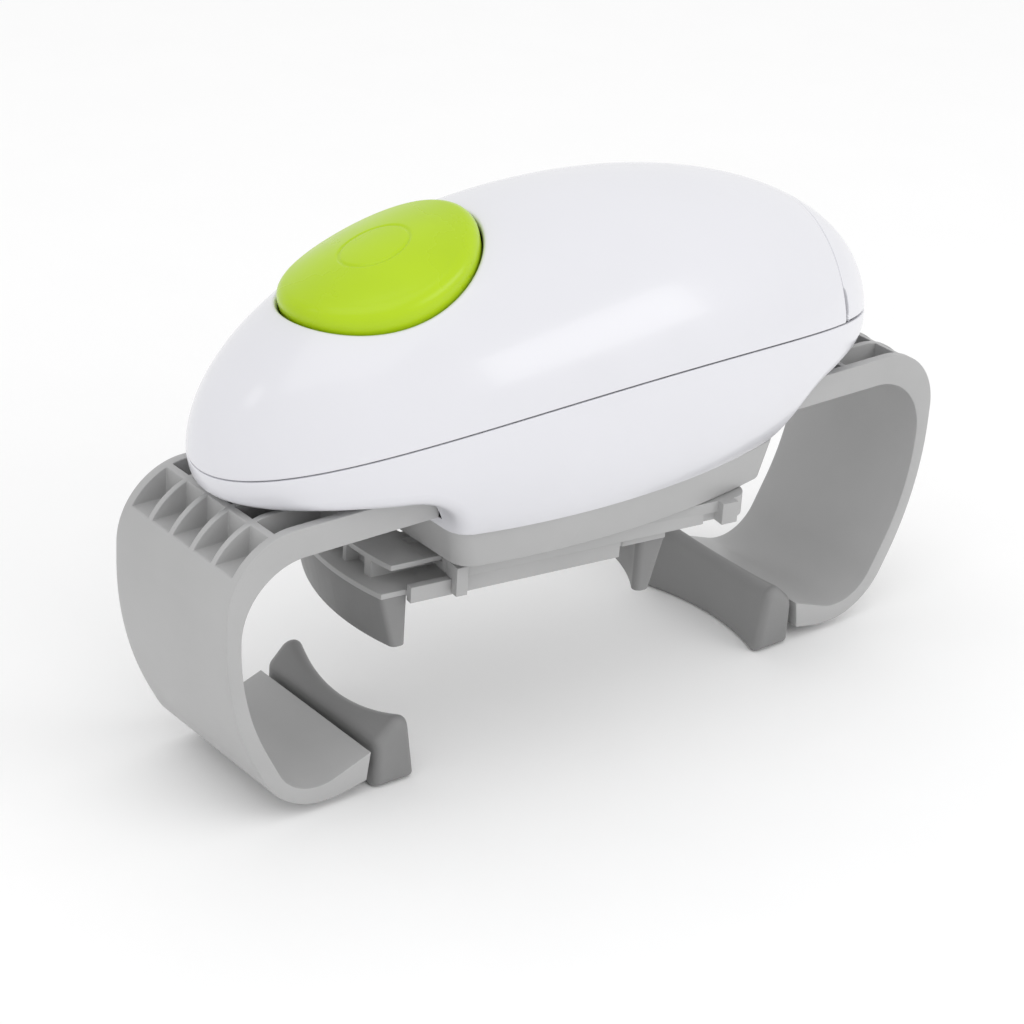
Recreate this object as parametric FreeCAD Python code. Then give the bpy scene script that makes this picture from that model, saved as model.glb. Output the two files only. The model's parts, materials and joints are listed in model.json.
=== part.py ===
"""Battery-powered jar opener: an egg-shaped drive housing with a push button,
two C-shaped jar arms that slide together, and a turning carriage with two lid jaws.

Millimetres. Origin at the middle of the footprint, on the surface the arms stand on.
+X runs along the housing towards the battery door, +Z is up.
"""
import FreeCAD, Part
import math
import os

Vector = FreeCAD.Vector

# ---- housing ---------------------------------------------------------------
BODY_HALF_LENGTH = 99.2
BODY_HALF_WIDTH = 41.5
CROWN_HEIGHT = 48.5          # waist to the top of the crown
BELLY_DEPTH = 36.0           # waist to the lowest point of the full egg
BODY_CENTRE_X = -3.4
WAIST_Z = 85.2
WALL = 2.4
SEAM_TOP_Z = 98.7            # parting line at the middle of the housing
SEAM_RADIUS = 364.0          # the parting line is a long arch
SEAM_GROOVE = 0.5
SEAM_GROOVE_DEPTH = 1.0
HOUSING_BASE_Z = 65.8
OVERHANG_Z = 77.4            # underside of both overhanging ends
END_FACE_LEFT = 51.0         # distance of each end face from the middle
END_FACE_RIGHT = 50.0
OVERHANG_RISE_LEFT = 0.0     # degrees that each underside climbs outwards
OVERHANG_RISE_RIGHT = 6.0
COVE_RADIUS = 13.0
DEEP_CORNER_RADIUS = 3.5     # between each cove and the side walls

# ---- base cover ------------------------------------------------------------
COVER_FLOOR_Z = 55.5
COVER_FLOOR = 2.2
COVER_RIM = (50.3, 34.6, 28.0)      # half length, half width in the middle and at the ends
COVER_FOOT = (47.7, 32.0, 27.2)
COVER_CORNER = 5.0
FLAT_GAP = 0.3               # flat faces of different bodies

# ---- arms ------------------------------------------------------------------
ARM_WIDTH = 46.0
ARM_TOP_Z = 76.0
ARM_BAR_HEIGHT = 7.4
ARM_BAND = 4.1
ARM_REACH = 109.9            # outer face of the upright run
ARM_KNEE_Z = 34.0
ARM_HEEL_INSET = 16.9        # these four are measured in from the outer face
ARM_TOE_INSET = 32.4
ARM_TIP_LOW_INSET = 40.5
ARM_TIP_HIGH_INSET = 41.5
ARM_SOLE_Z = 2.2             # the foot stays clear of the ground; the pad stands on it
ARM_TIP_LOW_Z = 3.8
ARM_TIP_HIGH_Z = 11.2
ARM_CORNER_RADIUS = 18.0
ARM_KNEE_RADIUS = 80.0
ARM_HEEL_RADIUS = 20.0
ARM_TOE_RADIUS = 9.0
ARM_INNER_CORNER_RADIUS = 17.0
ARM_INNER_KNEE_RADIUS = 66.0
ARM_INSTEP_INSET = 20.75     # corner of the inner outline above the foot
ARM_INSTEP_Z = 3.65
ARM_INSTEP_RADIUS = 13.0
ARM_BAR_END_X = 52.0         # inner end of the full-width bar, inside the housing
POCKET_COUNT = 5
POCKET_INNER_INSET = 49.9
POCKET_CROSS_RIB_INSET = 12.9
POCKET_SECOND_RIB_INSET = 31.9
POCKET_CORNER_Z = 67.3       # floor of the row that runs out round the corner
POCKET_SKIN = 2.0
POCKET_RIB = 1.6
POCKET_SIDE_WALL = 2.4
ARM_TRAVEL = 32.0
RACK_MODULE = 1.0
ARM_PINION_TEETH = 16
RACK_BACKING = 3.2
RACK_TONGUE_TIP = 12.0       # how far each rack reaches past the pinion axis
RACK_SLOT_GAP = 0.8

# ---- arm pads --------------------------------------------------------------
PAD_THICK = 12.0             # from the gripping edge to the back, at the ground
PAD_LEAN = 3.5               # the gripping face leans back by this much
PAD_SLOT = 1.6
PAD_HALF_WIDTH = 23.5
PAD_HOLLOW_DEPTH = 4.0
PAD_HIGH_Z = 20.9            # before the edges are rounded
PAD_LOW_Z = 13.2
PAD_END_LIP = 2.0            # flat lip beside the hollow
PAD_TONGUE_HALF = 15.0
PAD_TONGUE_LENGTH = 4.8
PAD_TONGUE_ROOT = 6.6
PAD_TONGUE_THICK = 3.0
PAD_TONGUE_Z = 5.2
PAD_ROUND = 3.0

# ---- teeth -----------------------------------------------------------------
PRESSURE_ANGLE = math.radians(20.0)
TOOTH_ADDENDUM = 0.7         # stub teeth, in modules
TOOTH_DEDENDUM = 1.0
TOOTH_BACKLASH = 0.16
TRAIN_MODULE = 0.8
TRAIN_CENTRE_SLACK = 0.05

# ---- gear train ------------------------------------------------------------
OUTPUT_TEETH = 40
WHEEL_TEETH = 36
PINION_TEETH = 12
GEAR_FACE = 3.4
GEAR_STEP = 1.0
CHASSIS_PLATE = 2.2
TRAIN_PLATE = 2.0
CHASSIS_HALF_LENGTH = 46.0
CHASSIS_HALF_WIDTH = 27.5
GUIDE_HALF_LENGTH = 43.0
GUIDE_HALF_WIDTH = 25.6
GEAR_PIN_RADIUS = 1.2
RUNNING_GAP = 0.06           # radial
SHAFT_RADIUS = 3.0
MOTOR_X = -7.0
MOTOR_RADIUS = 12.0
MOTOR_LENGTH = 27.0
MOTOR_BOSS_RADIUS = 3.1
MOTOR_SHAFT_RADIUS = 1.0
FIRST_WHEEL_ANGLE = math.radians(160.0)
POST_RADIUS = 2.6
POSTS = ((14.0, 21.0), (14.0, -21.0), (-42.0, 0.0))

# ---- lid carriage ----------------------------------------------------------
CARRIAGE_TURN = -8.0         # degrees about +Z at rest
CARRIAGE_OFFSET = 19.5       # the jaw pair rests this far towards the button
CARRIAGE_HALF_LENGTH = 42.0
CARRIAGE_HALF_WIDTH = 27.0
CARRIAGE_CORNER = 5.0
CARRIAGE_TOP_GAP = 0.3
CARRIAGE_PLATE = 1.5
CARRIAGE_BOTTOM_Z = 49.6
CARRIAGE_LIP = 2.1
CHANNEL_HALF_WIDTH = 21.8
LIP_HALF_OPENING = 15.4
HUB_RADIUS = 9.0
BUSH_WALL = 2.0
BUSH_HEIGHT = 6.0
RETAINER_HEIGHT = 1.6
JAW_PINION_TEETH = 12
SHUTTLE_HALF_LENGTH = 6.0
SHUTTLE_HALF_WIDTH = 3.6
SHUTTLE_PIN_RADIUS = 1.5
SLIDE_GAP = 0.3
LUG_HEIGHT = 5.6
LUG_LENGTH = 4.5
LUG_THICK = 2.2
LUG_X = 37.0                 # outer end of each lug, along the carriage
NOTCH_LENGTH = 4.0           # recess in the side wall beside each lug
NOTCH_SINK = 1.2
NOTCH_HEIGHT = 2.6
HOOK_LENGTH = 3.0            # hooked tab at the corner of the carriage
HOOK_ROOT = 3.0
HOOK_LOW_Z = 46.0
HOOK_TOP_Z = 53.5
OVERLAP = 0.2                # depth that a fused detail reaches into its wall

# ---- lid jaws --------------------------------------------------------------
JAW_PLATE_TOP_Z = 53.4
JAW_PLATE_THICK = 1.4
JAW_PLATE_SETBACK = 4.2      # the top plate and the neck end behind the flange
JAW_FLANGE_TOP_Z = 47.6
JAW_FLANGE_THICK = 1.4
JAW_RACK_Z = 49.8            # underside of the jaw racks and of their pinion
JAW_PAD_HEIGHT = 13.6
JAW_HALF_WIDTH = 23.6
JAW_OUTER_X = 43.5           # outer face from the pinion axis, at mid width
JAW_INNER_X = 37.5           # gripping face from the pinion axis, at mid width
JAW_OUTER_RADIUS = 70.0
JAW_INNER_RADIUS = 46.0
JAW_TAPER = 3.4              # outer face leans in by this much over its height
JAW_BODY_INNER_X = 27.0
JAW_NECK_HALF_WIDTH = 15.0
JAW_POCKET_WIDTH = 7.4
JAW_POCKET_RIB = 1.5
JAW_POCKET_DEPTH = 3.6
JAW_CORNER_ROUND = 1.6
JAW_TRAVEL_IN = 16.0
RUNNER_THICK = 2.0
RUNNER_GAP = 0.7
RUNNER_LOW_Z = 45.2
RUNNER_TOP_Z = 49.3
RUNNER_TIP_X = 24.5
RUNNER_ROOT = 6.0            # length that joins the runner to the flange
RACK_JAW_TIP = 8.0            # how far each jaw rack reaches past its pinion

# ---- button ----------------------------------------------------------------
BUTTON_X = -56.0
BUTTON_HALF_LENGTH = 25.2
BUTTON_HALF_WIDTH = 20.0
BUTTON_PROUD = 2.9
BUTTON_GAP = 0.8
BUTTON_THICK = 3.4
BUTTON_RIM_DROP = 12.5       # depth of the button's skirt below its middle
BUTTON_ROUND = 3.0
BUTTON_UNDERSIDE = 2.4       # depth of the hollow's ceiling below the crown
BUTTON_CEILING_RADIUS = 30.0
BUTTON_TRAVEL = 2.4
GUIDE_WALL = 1.6
GUIDE_FLOOR_DEPTH = 17.0
STEM_RADIUS = 4.0
SWITCH_SIZE = 6.0
SWITCH_HEIGHT = 4.0
BOARD_THICK = 1.6
BOARD_LENGTH = 34.0
BOARD_WIDTH = 22.0
BOARD_POST_RADIUS = 2.0
SPRING_WIDTH = 6.0
SPRING_SHEET = 0.4
SPRING_HALF_SPAN = 15.0
SPRING_DROP = 2.8            # leaf crown below the inside of the button

# ---- battery end -----------------------------------------------------------
DOOR_X = 70.5
DOOR_GAP = 0.4
CELL_RADIUS = 7.1
CELL_LENGTH = 47.6
CELL_NIPPLE_RADIUS = 2.6
CELL_NIPPLE = 1.4
CELL_X = 21.5
CELL_Z = 95.0
CELL_PITCH = 16.0
CELL_GAP = 0.3
TRAY_WALL = 1.4
TRAY_FLOOR = 1.8
CONTACT_SHEET = 0.5
NOTCH_HALF_HEIGHT = 4.0
NOTCH_DEPTH = 1.6
NOTCH_Z = 95.5

# ---- fasteners -------------------------------------------------------------
SCREW_RADIUS = 1.5
SCREW_HEAD_RADIUS = 2.8
SCREW_HEAD_HEIGHT = 1.8
SCREW_SINK = 1.0             # depth of each head below the cover's underside
SCREW_FIT = 0.05             # radial
SCREW_INSET = 4.0            # from the ends of the arm guide
SCREW_Y = 20.5
BOSS_WALL = 1.6

# ---- heights worked out from the stack --------------------------------------
COVER_TOP_Z = HOUSING_BASE_Z
BAR_BOTTOM_Z = ARM_TOP_Z - ARM_BAR_HEIGHT
GUIDE_PLATE_TOP_Z = BAR_BOTTOM_Z - FLAT_GAP
CHASSIS_Z = ARM_TOP_Z + 2.0 * FLAT_GAP
CHASSIS_TOP_Z = CHASSIS_Z + CHASSIS_PLATE
OUTPUT_Z = CHASSIS_TOP_Z + GEAR_STEP
SECOND_WHEEL_Z = OUTPUT_Z + GEAR_FACE + GEAR_STEP
FIRST_WHEEL_Z = SECOND_WHEEL_Z + GEAR_FACE + GEAR_STEP
TRAIN_PLATE_Z = FIRST_WHEEL_Z + GEAR_FACE + GEAR_STEP
MOTOR_Z = TRAIN_PLATE_Z + TRAIN_PLATE
CARRIAGE_TOP_Z = COVER_FLOOR_Z - CARRIAGE_TOP_GAP
PAD_JOIN_Z = JAW_FLANGE_TOP_Z - JAW_FLANGE_THICK
HUB_TOP_Z = COVER_FLOOR_Z + BUSH_HEIGHT + FLAT_GAP
RACK_PITCH_RADIUS = RACK_MODULE * ARM_PINION_TEETH / 2.0
JAW_PITCH_RADIUS = RACK_MODULE * JAW_PINION_TEETH / 2.0


# ---- general shapes --------------------------------------------------------
def box(x0, x1, y0, y1, z0, z1):
    """Block between two corners."""
    return Part.makeBox(x1 - x0, y1 - y0, z1 - z0, Vector(x0, y0, z0))


def cylinder(radius, z0, z1, x=0.0, y=0.0):
    """Upright cylinder."""
    return Part.makeCylinder(radius, z1 - z0, Vector(x, y, z0))


def fuse(first, *others):
    """Union with the seams between coplanar faces removed."""
    return first.fuse(list(others)).removeSplitter()


def mirrored(shape):
    """Mirror image across the YZ plane."""
    return shape.mirror(Vector(0, 0, 0), Vector(1, 0, 0))


def half_turned(shape):
    """Copy turned by half a turn about the upright axis."""
    placed = shape.copy()
    placed.rotate(Vector(0, 0, 0), Vector(0, 0, 1), 180.0)
    return placed


def rounded_edges(points, radii, place):
    """Lines and tangent arcs along a path; place maps two numbers to a point."""
    edges = []
    start = points[0]
    for before, corner, after, radius in zip(points, points[1:], points[2:], radii):
        to_before = (Vector(*before, 0) - Vector(*corner, 0)).normalize()
        to_after = (Vector(*after, 0) - Vector(*corner, 0)).normalize()
        half = to_before.getAngle(to_after) / 2.0
        reach = radius / math.tan(half)
        inward = (to_before + to_after).normalize()
        crown = radius / math.sin(half) - radius
        arc_start = Vector(*corner, 0) + to_before * reach
        arc_end = Vector(*corner, 0) + to_after * reach
        arc_middle = Vector(*corner, 0) + inward * crown
        edges.append(Part.makeLine(place(*start), place(arc_start.x, arc_start.y)))
        arc = Part.Arc(place(arc_start.x, arc_start.y), place(arc_middle.x, arc_middle.y),
                       place(arc_end.x, arc_end.y))
        edges.append(arc.toShape())
        start = (arc_end.x, arc_end.y)
    edges.append(Part.makeLine(place(*start), place(*points[-1])))
    return edges


def upright(x, z):
    """Point of the XZ plane."""
    return Vector(x, 0, z)


def extrude_across(edges, half_width):
    """Closed XZ outline pushed out to both sides of the XZ plane."""
    face = Part.Face(Part.Wire(edges))
    face.translate(Vector(0, -half_width, 0))
    return face.extrude(Vector(0, 2.0 * half_width, 0))


def oval(half_length, half_width, z0, z1):
    """Upright elliptical prism."""
    ellipse = Part.Ellipse(Vector(0, 0, z0), half_length, half_width)
    return Part.Face(Part.Wire(ellipse.toShape())).extrude(Vector(0, 0, z1 - z0))


# ---- toothed parts ---------------------------------------------------------
def involute(angle):
    """Involute function."""
    return math.tan(angle) - angle


def gear(teeth, module, z0, z1, phase):
    """Spur gear with stub teeth; one tooth is centred on the angle phase."""
    pitch = module * teeth / 2.0
    base = pitch * math.cos(PRESSURE_ANGLE)
    tip = pitch + TOOTH_ADDENDUM * module
    root = pitch - TOOTH_DEDENDUM * module
    half_tooth = math.pi / (2.0 * teeth) - TOOTH_BACKLASH / (2.0 * pitch)

    def half_angle(radius):
        pressure = math.acos(min(1.0, base / radius))
        return half_tooth + involute(PRESSURE_ANGLE) - involute(pressure)

    flank = [(root, half_angle(max(base, root))), (pitch, half_angle(pitch)), (tip, half_angle(tip))]
    points = []
    for number in range(teeth):
        centre = phase + 2.0 * math.pi * number / teeth
        side = [(radius, centre - half) for radius, half in flank]
        side += [(radius, centre + half) for radius, half in reversed(flank)]
        points += [Vector(r * math.cos(a), r * math.sin(a), z0) for r, a in side]
    outline = Part.makePolygon(points + [points[0]])
    return Part.Face(outline).extrude(Vector(0, 0, z1 - z0))


def meshing_phase(phase, teeth, other_teeth, direction):
    """Angle of a tooth on the other gear, in mesh along the given direction."""
    other_pitch = 2.0 * math.pi / other_teeth
    return direction + math.pi + other_pitch / 2.0 - (phase - direction) * teeth / other_teeth


def rack(x0, x1, pitch_y, backing, z0, z1):
    """Toothed bar along X with its teeth towards -Y and a tooth space at x = 0."""
    pitch = math.pi * RACK_MODULE
    tip_y = pitch_y - TOOTH_ADDENDUM * RACK_MODULE
    root_y = pitch_y + TOOTH_DEDENDUM * RACK_MODULE
    half_tooth = pitch / 4.0 - TOOTH_BACKLASH / 2.0
    lean = math.tan(PRESSURE_ANGLE)
    half_tip = half_tooth - TOOTH_ADDENDUM * RACK_MODULE * lean
    half_root = half_tooth + TOOTH_DEDENDUM * RACK_MODULE * lean
    points = [(x0, root_y)]
    number = math.ceil((x0 + half_root) / pitch - 0.5)
    while (number + 0.5) * pitch + half_root < x1:
        centre = (number + 0.5) * pitch
        points += [(centre - half_root, root_y), (centre - half_tip, tip_y)]
        points += [(centre + half_tip, tip_y), (centre + half_root, root_y)]
        number += 1
    points += [(x1, root_y), (x1, root_y + backing), (x0, root_y + backing), (x0, root_y)]
    outline = Part.makePolygon([Vector(x, y, z0) for x, y in points])
    return Part.Face(outline).extrude(Vector(0, 0, z1 - z0))


# ---- housing shells --------------------------------------------------------
def half_egg(inset, height, side):
    """Upper or lower half of the egg: half a disc swept half a turn, then stretched."""
    arc = Part.Arc(Vector(-1, 0, 0), Vector(0, 1, 0), Vector(1, 0, 0)).toShape()
    chord = Part.makeLine(Vector(1, 0, 0), Vector(-1, 0, 0))
    disc = Part.Face(Part.Wire([arc, chord]))
    half = disc.revolve(Vector(0, 0, 0), Vector(1, 0, 0), side * 180.0)
    stretch = FreeCAD.Matrix()
    stretch.scale(BODY_HALF_LENGTH - inset, BODY_HALF_WIDTH - inset, height - inset)
    return half.transformGeometry(stretch)


def egg(inset=0.0):
    """The whole egg, moved in from its outer face by the inset."""
    upper = half_egg(inset, CROWN_HEIGHT, 1)
    lower = half_egg(inset, BELLY_DEPTH, -1)
    body = upper.fuse(lower).removeSplitter()
    body.translate(Vector(BODY_CENTRE_X, 0, WAIST_Z))
    return body


def seam_drum(drop=0.0):
    """Drum whose top is the arched parting surface, lowered by the drop."""
    drum = Part.makeCylinder(SEAM_RADIUS - drop, 4.0 * BODY_HALF_WIDTH,
                             Vector(0, -2.0 * BODY_HALF_WIDTH, SEAM_TOP_Z - SEAM_RADIUS), Vector(0, 1, 0))
    return drum


def end_space(side, face_x, rise, inset):
    """Space under one overhanging end: flat underside, cove and end face."""
    far = ARM_REACH + WALL
    face = face_x - inset
    under = OVERHANG_Z + inset
    climb = math.tan(math.radians(rise)) * (far - face)
    corners = [(face, HOUSING_BASE_Z - COVE_RADIUS), (face, under), (far, under + climb)]
    edges = rounded_edges(corners, [COVE_RADIUS + inset], upright)
    edges.append(Part.makeLine(upright(far, under + climb), upright(far, HOUSING_BASE_Z - COVE_RADIUS)))
    edges.append(Part.makeLine(upright(far, HOUSING_BASE_Z - COVE_RADIUS), upright(*corners[0])))
    space = extrude_across(edges, BODY_HALF_WIDTH)
    return space if side > 0 else mirrored(space)


def below_overhangs(inset):
    """Everything under both overhanging ends."""
    left = end_space(-1, END_FACE_LEFT, OVERHANG_RISE_LEFT, inset)
    right = end_space(1, END_FACE_RIGHT, OVERHANG_RISE_RIGHT, inset)
    return Part.makeCompound([left, right])


def below_base():
    """Everything under the housing's lower rim."""
    return box(-ARM_REACH, ARM_REACH, -BODY_HALF_WIDTH, BODY_HALF_WIDTH, 0.0, HOUSING_BASE_Z)


def cove_sides(shape):
    """Edges between the coves and the side walls, from the base up to the undersides."""
    found = []
    for edge in shape.Edges:
        bounds = edge.BoundBox
        from_base = abs(bounds.ZMin - HOUSING_BASE_Z) < 0.1 and bounds.ZLength > 1.0
        if from_base and bounds.ZMax < WAIST_Z:
            found.append(edge)
    return found


def make_lower_shell(outer, inner):
    """White lower shell with its arm slots, open at the base."""
    form = outer.common(seam_drum()).cut(below_base()).cut(below_overhangs(0.0))
    form = form.makeFillet(DEEP_CORNER_RADIUS, cove_sides(form))
    rebate = seam_drum().cut(seam_drum(SEAM_GROOVE)).cut(egg(SEAM_GROOVE_DEPTH))
    cavity = inner.cut(below_overhangs(WALL))
    slot_half = ARM_WIDTH / 2.0 + 2.0 * FLAT_GAP
    slots = box(-ARM_REACH, ARM_REACH, -slot_half, slot_half, GUIDE_PLATE_TOP_Z, CHASSIS_Z)
    return form.cut(rebate).cut(cavity).cut(slots)


def door_space(gap):
    """The battery end: everything beyond the door's parting plane."""
    return box(DOOR_X + gap, ARM_REACH, -BODY_HALF_WIDTH, BODY_HALF_WIDTH, HOUSING_BASE_Z, 2.0 * WAIST_Z)


def finger_notches(gap):
    """Two small scoops at the foot of the door's edge."""
    scoops = []
    for side in (-1, 1):
        scoop = Part.makeSphere(1.0)
        stretch = FreeCAD.Matrix()
        stretch.scale(NOTCH_DEPTH, BODY_HALF_WIDTH / 4.0, NOTCH_HALF_HEIGHT)
        scoop = scoop.transformGeometry(stretch)
        width = BODY_HALF_WIDTH * math.sqrt(1.0 - ((DOOR_X - BODY_CENTRE_X) / BODY_HALF_LENGTH) ** 2)
        scoop.translate(Vector(DOOR_X + gap, side * width, NOTCH_Z))
        scoops.append(scoop)
    return Part.makeCompound(scoops)


def make_upper_shell(outer, inner):
    """White upper shell with the oval button opening, cut back for the door."""
    form = outer.cut(seam_drum()).cut(inner).cut(door_space(0.0))
    opening = tilted(oval(BUTTON_HALF_LENGTH + BUTTON_GAP, BUTTON_HALF_WIDTH + BUTTON_GAP,
                          -GUIDE_FLOOR_DEPTH, 2.0 * GUIDE_FLOOR_DEPTH))
    return form.cut(opening)


def make_battery_door(outer, inner):
    """End cap that pulls off along +X."""
    form = outer.cut(seam_drum(-DOOR_GAP)).cut(inner).common(door_space(DOOR_GAP))
    form = form.cut(finger_notches(DOOR_GAP))
    width = CELL_PITCH + 1.2 * CELL_RADIUS
    web_x = DOOR_X + DOOR_GAP
    web = box(web_x + 3.0, web_x + 3.0 + WALL, -width / 2.0, width / 2.0, SEAM_TOP_Z, ARM_REACH * 2.0)
    web = web.common(inner)
    return fuse(form, web)


# ---- button group ----------------------------------------------------------
def crown_slope():
    """Angle of the crown under the middle of the button."""
    x = (BUTTON_X - BODY_CENTRE_X) / BODY_HALF_LENGTH
    return math.atan(-x * CROWN_HEIGHT / (BODY_HALF_LENGTH * math.sqrt(1.0 - x * x)))


def button_seat():
    """Point of the crown under the middle of the button."""
    x = (BUTTON_X - BODY_CENTRE_X) / BODY_HALF_LENGTH
    return Vector(BUTTON_X, 0, WAIST_Z + CROWN_HEIGHT * math.sqrt(1.0 - x * x))


def tilted(shape):
    """Move a shape from the button's own frame onto the crown."""
    placed = shape.copy()
    placed.rotate(Vector(0, 0, 0), Vector(0, 1, 0), -math.degrees(crown_slope()))
    placed.translate(button_seat())
    return placed


def make_button():
    """Oval push button that follows the crown, with a skirt and a stem."""
    plan = tilted(oval(BUTTON_HALF_LENGTH, BUTTON_HALF_WIDTH, -BUTTON_RIM_DROP, 2.0 * BUTTON_PROUD + 4.0))
    cap = plan.common(egg(-BUTTON_PROUD))
    rim = max(cap.Edges, key=lambda edge: edge.BoundBox.ZMax if edge.BoundBox.YLength > BUTTON_HALF_WIDTH else 0)
    cap = cap.makeFillet(BUTTON_ROUND, [rim])
    hollow = oval(BUTTON_HALF_LENGTH - BUTTON_THICK, BUTTON_HALF_WIDTH - BUTTON_THICK,
                  -BUTTON_RIM_DROP - 1.0, 0.0)
    ceiling = Part.makeCylinder(BUTTON_CEILING_RADIUS, 4.0 * BUTTON_HALF_LENGTH,
                                Vector(-2.0 * BUTTON_HALF_LENGTH, 0, -BUTTON_UNDERSIDE - BUTTON_CEILING_RADIUS),
                                Vector(1, 0, 0))
    cap = cap.cut(tilted(hollow.common(ceiling)))
    stem_end = -GUIDE_FLOOR_DEPTH - GUIDE_WALL - SCREW_HEAD_HEIGHT
    stem = tilted(cylinder(STEM_RADIUS, stem_end, 0.0))
    return fuse(cap, stem)


def make_button_guide(inner):
    """Oval well under the crown: a wall round the button and a floor with a hole."""
    outside = oval(BUTTON_HALF_LENGTH + BUTTON_GAP + GUIDE_WALL, BUTTON_HALF_WIDTH + BUTTON_GAP + GUIDE_WALL,
                   -GUIDE_FLOOR_DEPTH - GUIDE_WALL, GUIDE_FLOOR_DEPTH)
    inside = oval(BUTTON_HALF_LENGTH + BUTTON_GAP, BUTTON_HALF_WIDTH + BUTTON_GAP,
                  -GUIDE_FLOOR_DEPTH, GUIDE_FLOOR_DEPTH + 1.0)
    hole = cylinder(STEM_RADIUS + 2.0 * RUNNING_GAP, -2.0 * GUIDE_FLOOR_DEPTH, 0.0)
    cup = tilted(outside).common(inner).cut(tilted(inside)).cut(tilted(hole))
    low = -GUIDE_FLOOR_DEPTH - GUIDE_WALL
    posts = [tilted(cylinder(BOARD_POST_RADIUS, low - board_drop(), low, x, y)) for x, y in board_posts()]
    return fuse(cup, *posts)


def board_drop():
    """Distance from the well's floor to the circuit board."""
    return SCREW_HEAD_HEIGHT + BUTTON_TRAVEL + FLAT_GAP + SWITCH_HEIGHT


def board_posts():
    """Places of the two posts that carry the circuit board."""
    return ((-BOARD_LENGTH / 2.0 + 4.0, 0.0), (BOARD_LENGTH / 2.0 - 4.0, 0.0))


def make_control_board():
    """Circuit board under the button."""
    top = -GUIDE_FLOOR_DEPTH - GUIDE_WALL - board_drop()
    return tilted(box(-BOARD_LENGTH / 2.0, BOARD_LENGTH / 2.0, -BOARD_WIDTH / 2.0, BOARD_WIDTH / 2.0,
                      top - BOARD_THICK, top))


def make_power_switch():
    """Square key switch on the board, under the stem."""
    board = -GUIDE_FLOOR_DEPTH - GUIDE_WALL - board_drop()
    case = box(-SWITCH_SIZE / 2.0, SWITCH_SIZE / 2.0, -SWITCH_SIZE / 2.0, SWITCH_SIZE / 2.0,
               board, board + 0.7 * SWITCH_HEIGHT)
    key = cylinder(SWITCH_SIZE / 4.0, board, board + SWITCH_HEIGHT)
    return tilted(fuse(case, key))


def make_button_spring():
    """Bowed leaf spring between the well's floor and the button."""
    foot = -GUIDE_FLOOR_DEPTH + SPRING_SHEET / 2.0
    leaves = []
    for side in (-1, 1):
        middle = side * (STEM_RADIUS + 1.0 + SPRING_WIDTH / 2.0)
        top = -BUTTON_UNDERSIDE - SPRING_DROP
        upper = Part.Arc(upright(-SPRING_HALF_SPAN, foot + SPRING_SHEET / 2.0), upright(0, top),
                         upright(SPRING_HALF_SPAN, foot + SPRING_SHEET / 2.0))
        lower = Part.Arc(upright(SPRING_HALF_SPAN, foot - SPRING_SHEET / 2.0), upright(0, top - SPRING_SHEET),
                         upright(-SPRING_HALF_SPAN, foot - SPRING_SHEET / 2.0))
        edges = [upper.toShape(), Part.makeLine(upper.EndPoint, lower.StartPoint),
                 lower.toShape(), Part.makeLine(lower.EndPoint, upper.StartPoint)]
        leaf = extrude_across(edges, SPRING_WIDTH / 2.0)
        leaf.translate(Vector(0, middle, 0))
        leaves.append(tilted(leaf))
    return Part.makeCompound(leaves)


# ---- base cover and arm guide ----------------------------------------------
def bulged_outline(sizes, inset, z):
    """Closed outline with bulging sides and rounded corners."""
    length, middle, end = [size - inset for size in sizes]
    corner = COVER_CORNER
    slope = (middle - end) / length
    right = [Part.makeLine(Vector(length, corner - end, z), Vector(length, end - corner, z))]
    side = Part.Arc(Vector(length - corner, end + slope * corner, z), Vector(0, middle, z),
                    Vector(corner - length, end + slope * corner, z))
    turn = 0.2929 * corner
    corner_arc = Part.Arc(Vector(length, end - corner, z), Vector(length - turn, end - turn + slope * turn, z),
                          Vector(length - corner, end + slope * corner, z))
    quarter = [corner_arc.toShape(), side.toShape()]
    other = Part.Arc(Vector(corner - length, end + slope * corner, z),
                     Vector(turn - length, end - turn + slope * turn, z), Vector(-length, end - corner, z))
    left = [Part.makeLine(Vector(-length, end - corner, z), Vector(-length, corner - end, z))]
    lower_left = Part.Arc(Vector(-length, corner - end, z), Vector(turn - length, turn - end - slope * turn, z),
                          Vector(corner - length, -end - slope * corner, z))
    lower = Part.Arc(Vector(corner - length, -end - slope * corner, z), Vector(0, -middle, z),
                     Vector(length - corner, -end - slope * corner, z))
    lower_right = Part.Arc(Vector(length - corner, -end - slope * corner, z),
                           Vector(length - turn, turn - end - slope * turn, z), Vector(length, corner - end, z))
    edges = right + quarter + [other.toShape()] + left
    edges += [lower_left.toShape(), lower.toShape(), lower_right.toShape()]
    return Part.Wire(Part.__sortEdges__(edges))


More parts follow.
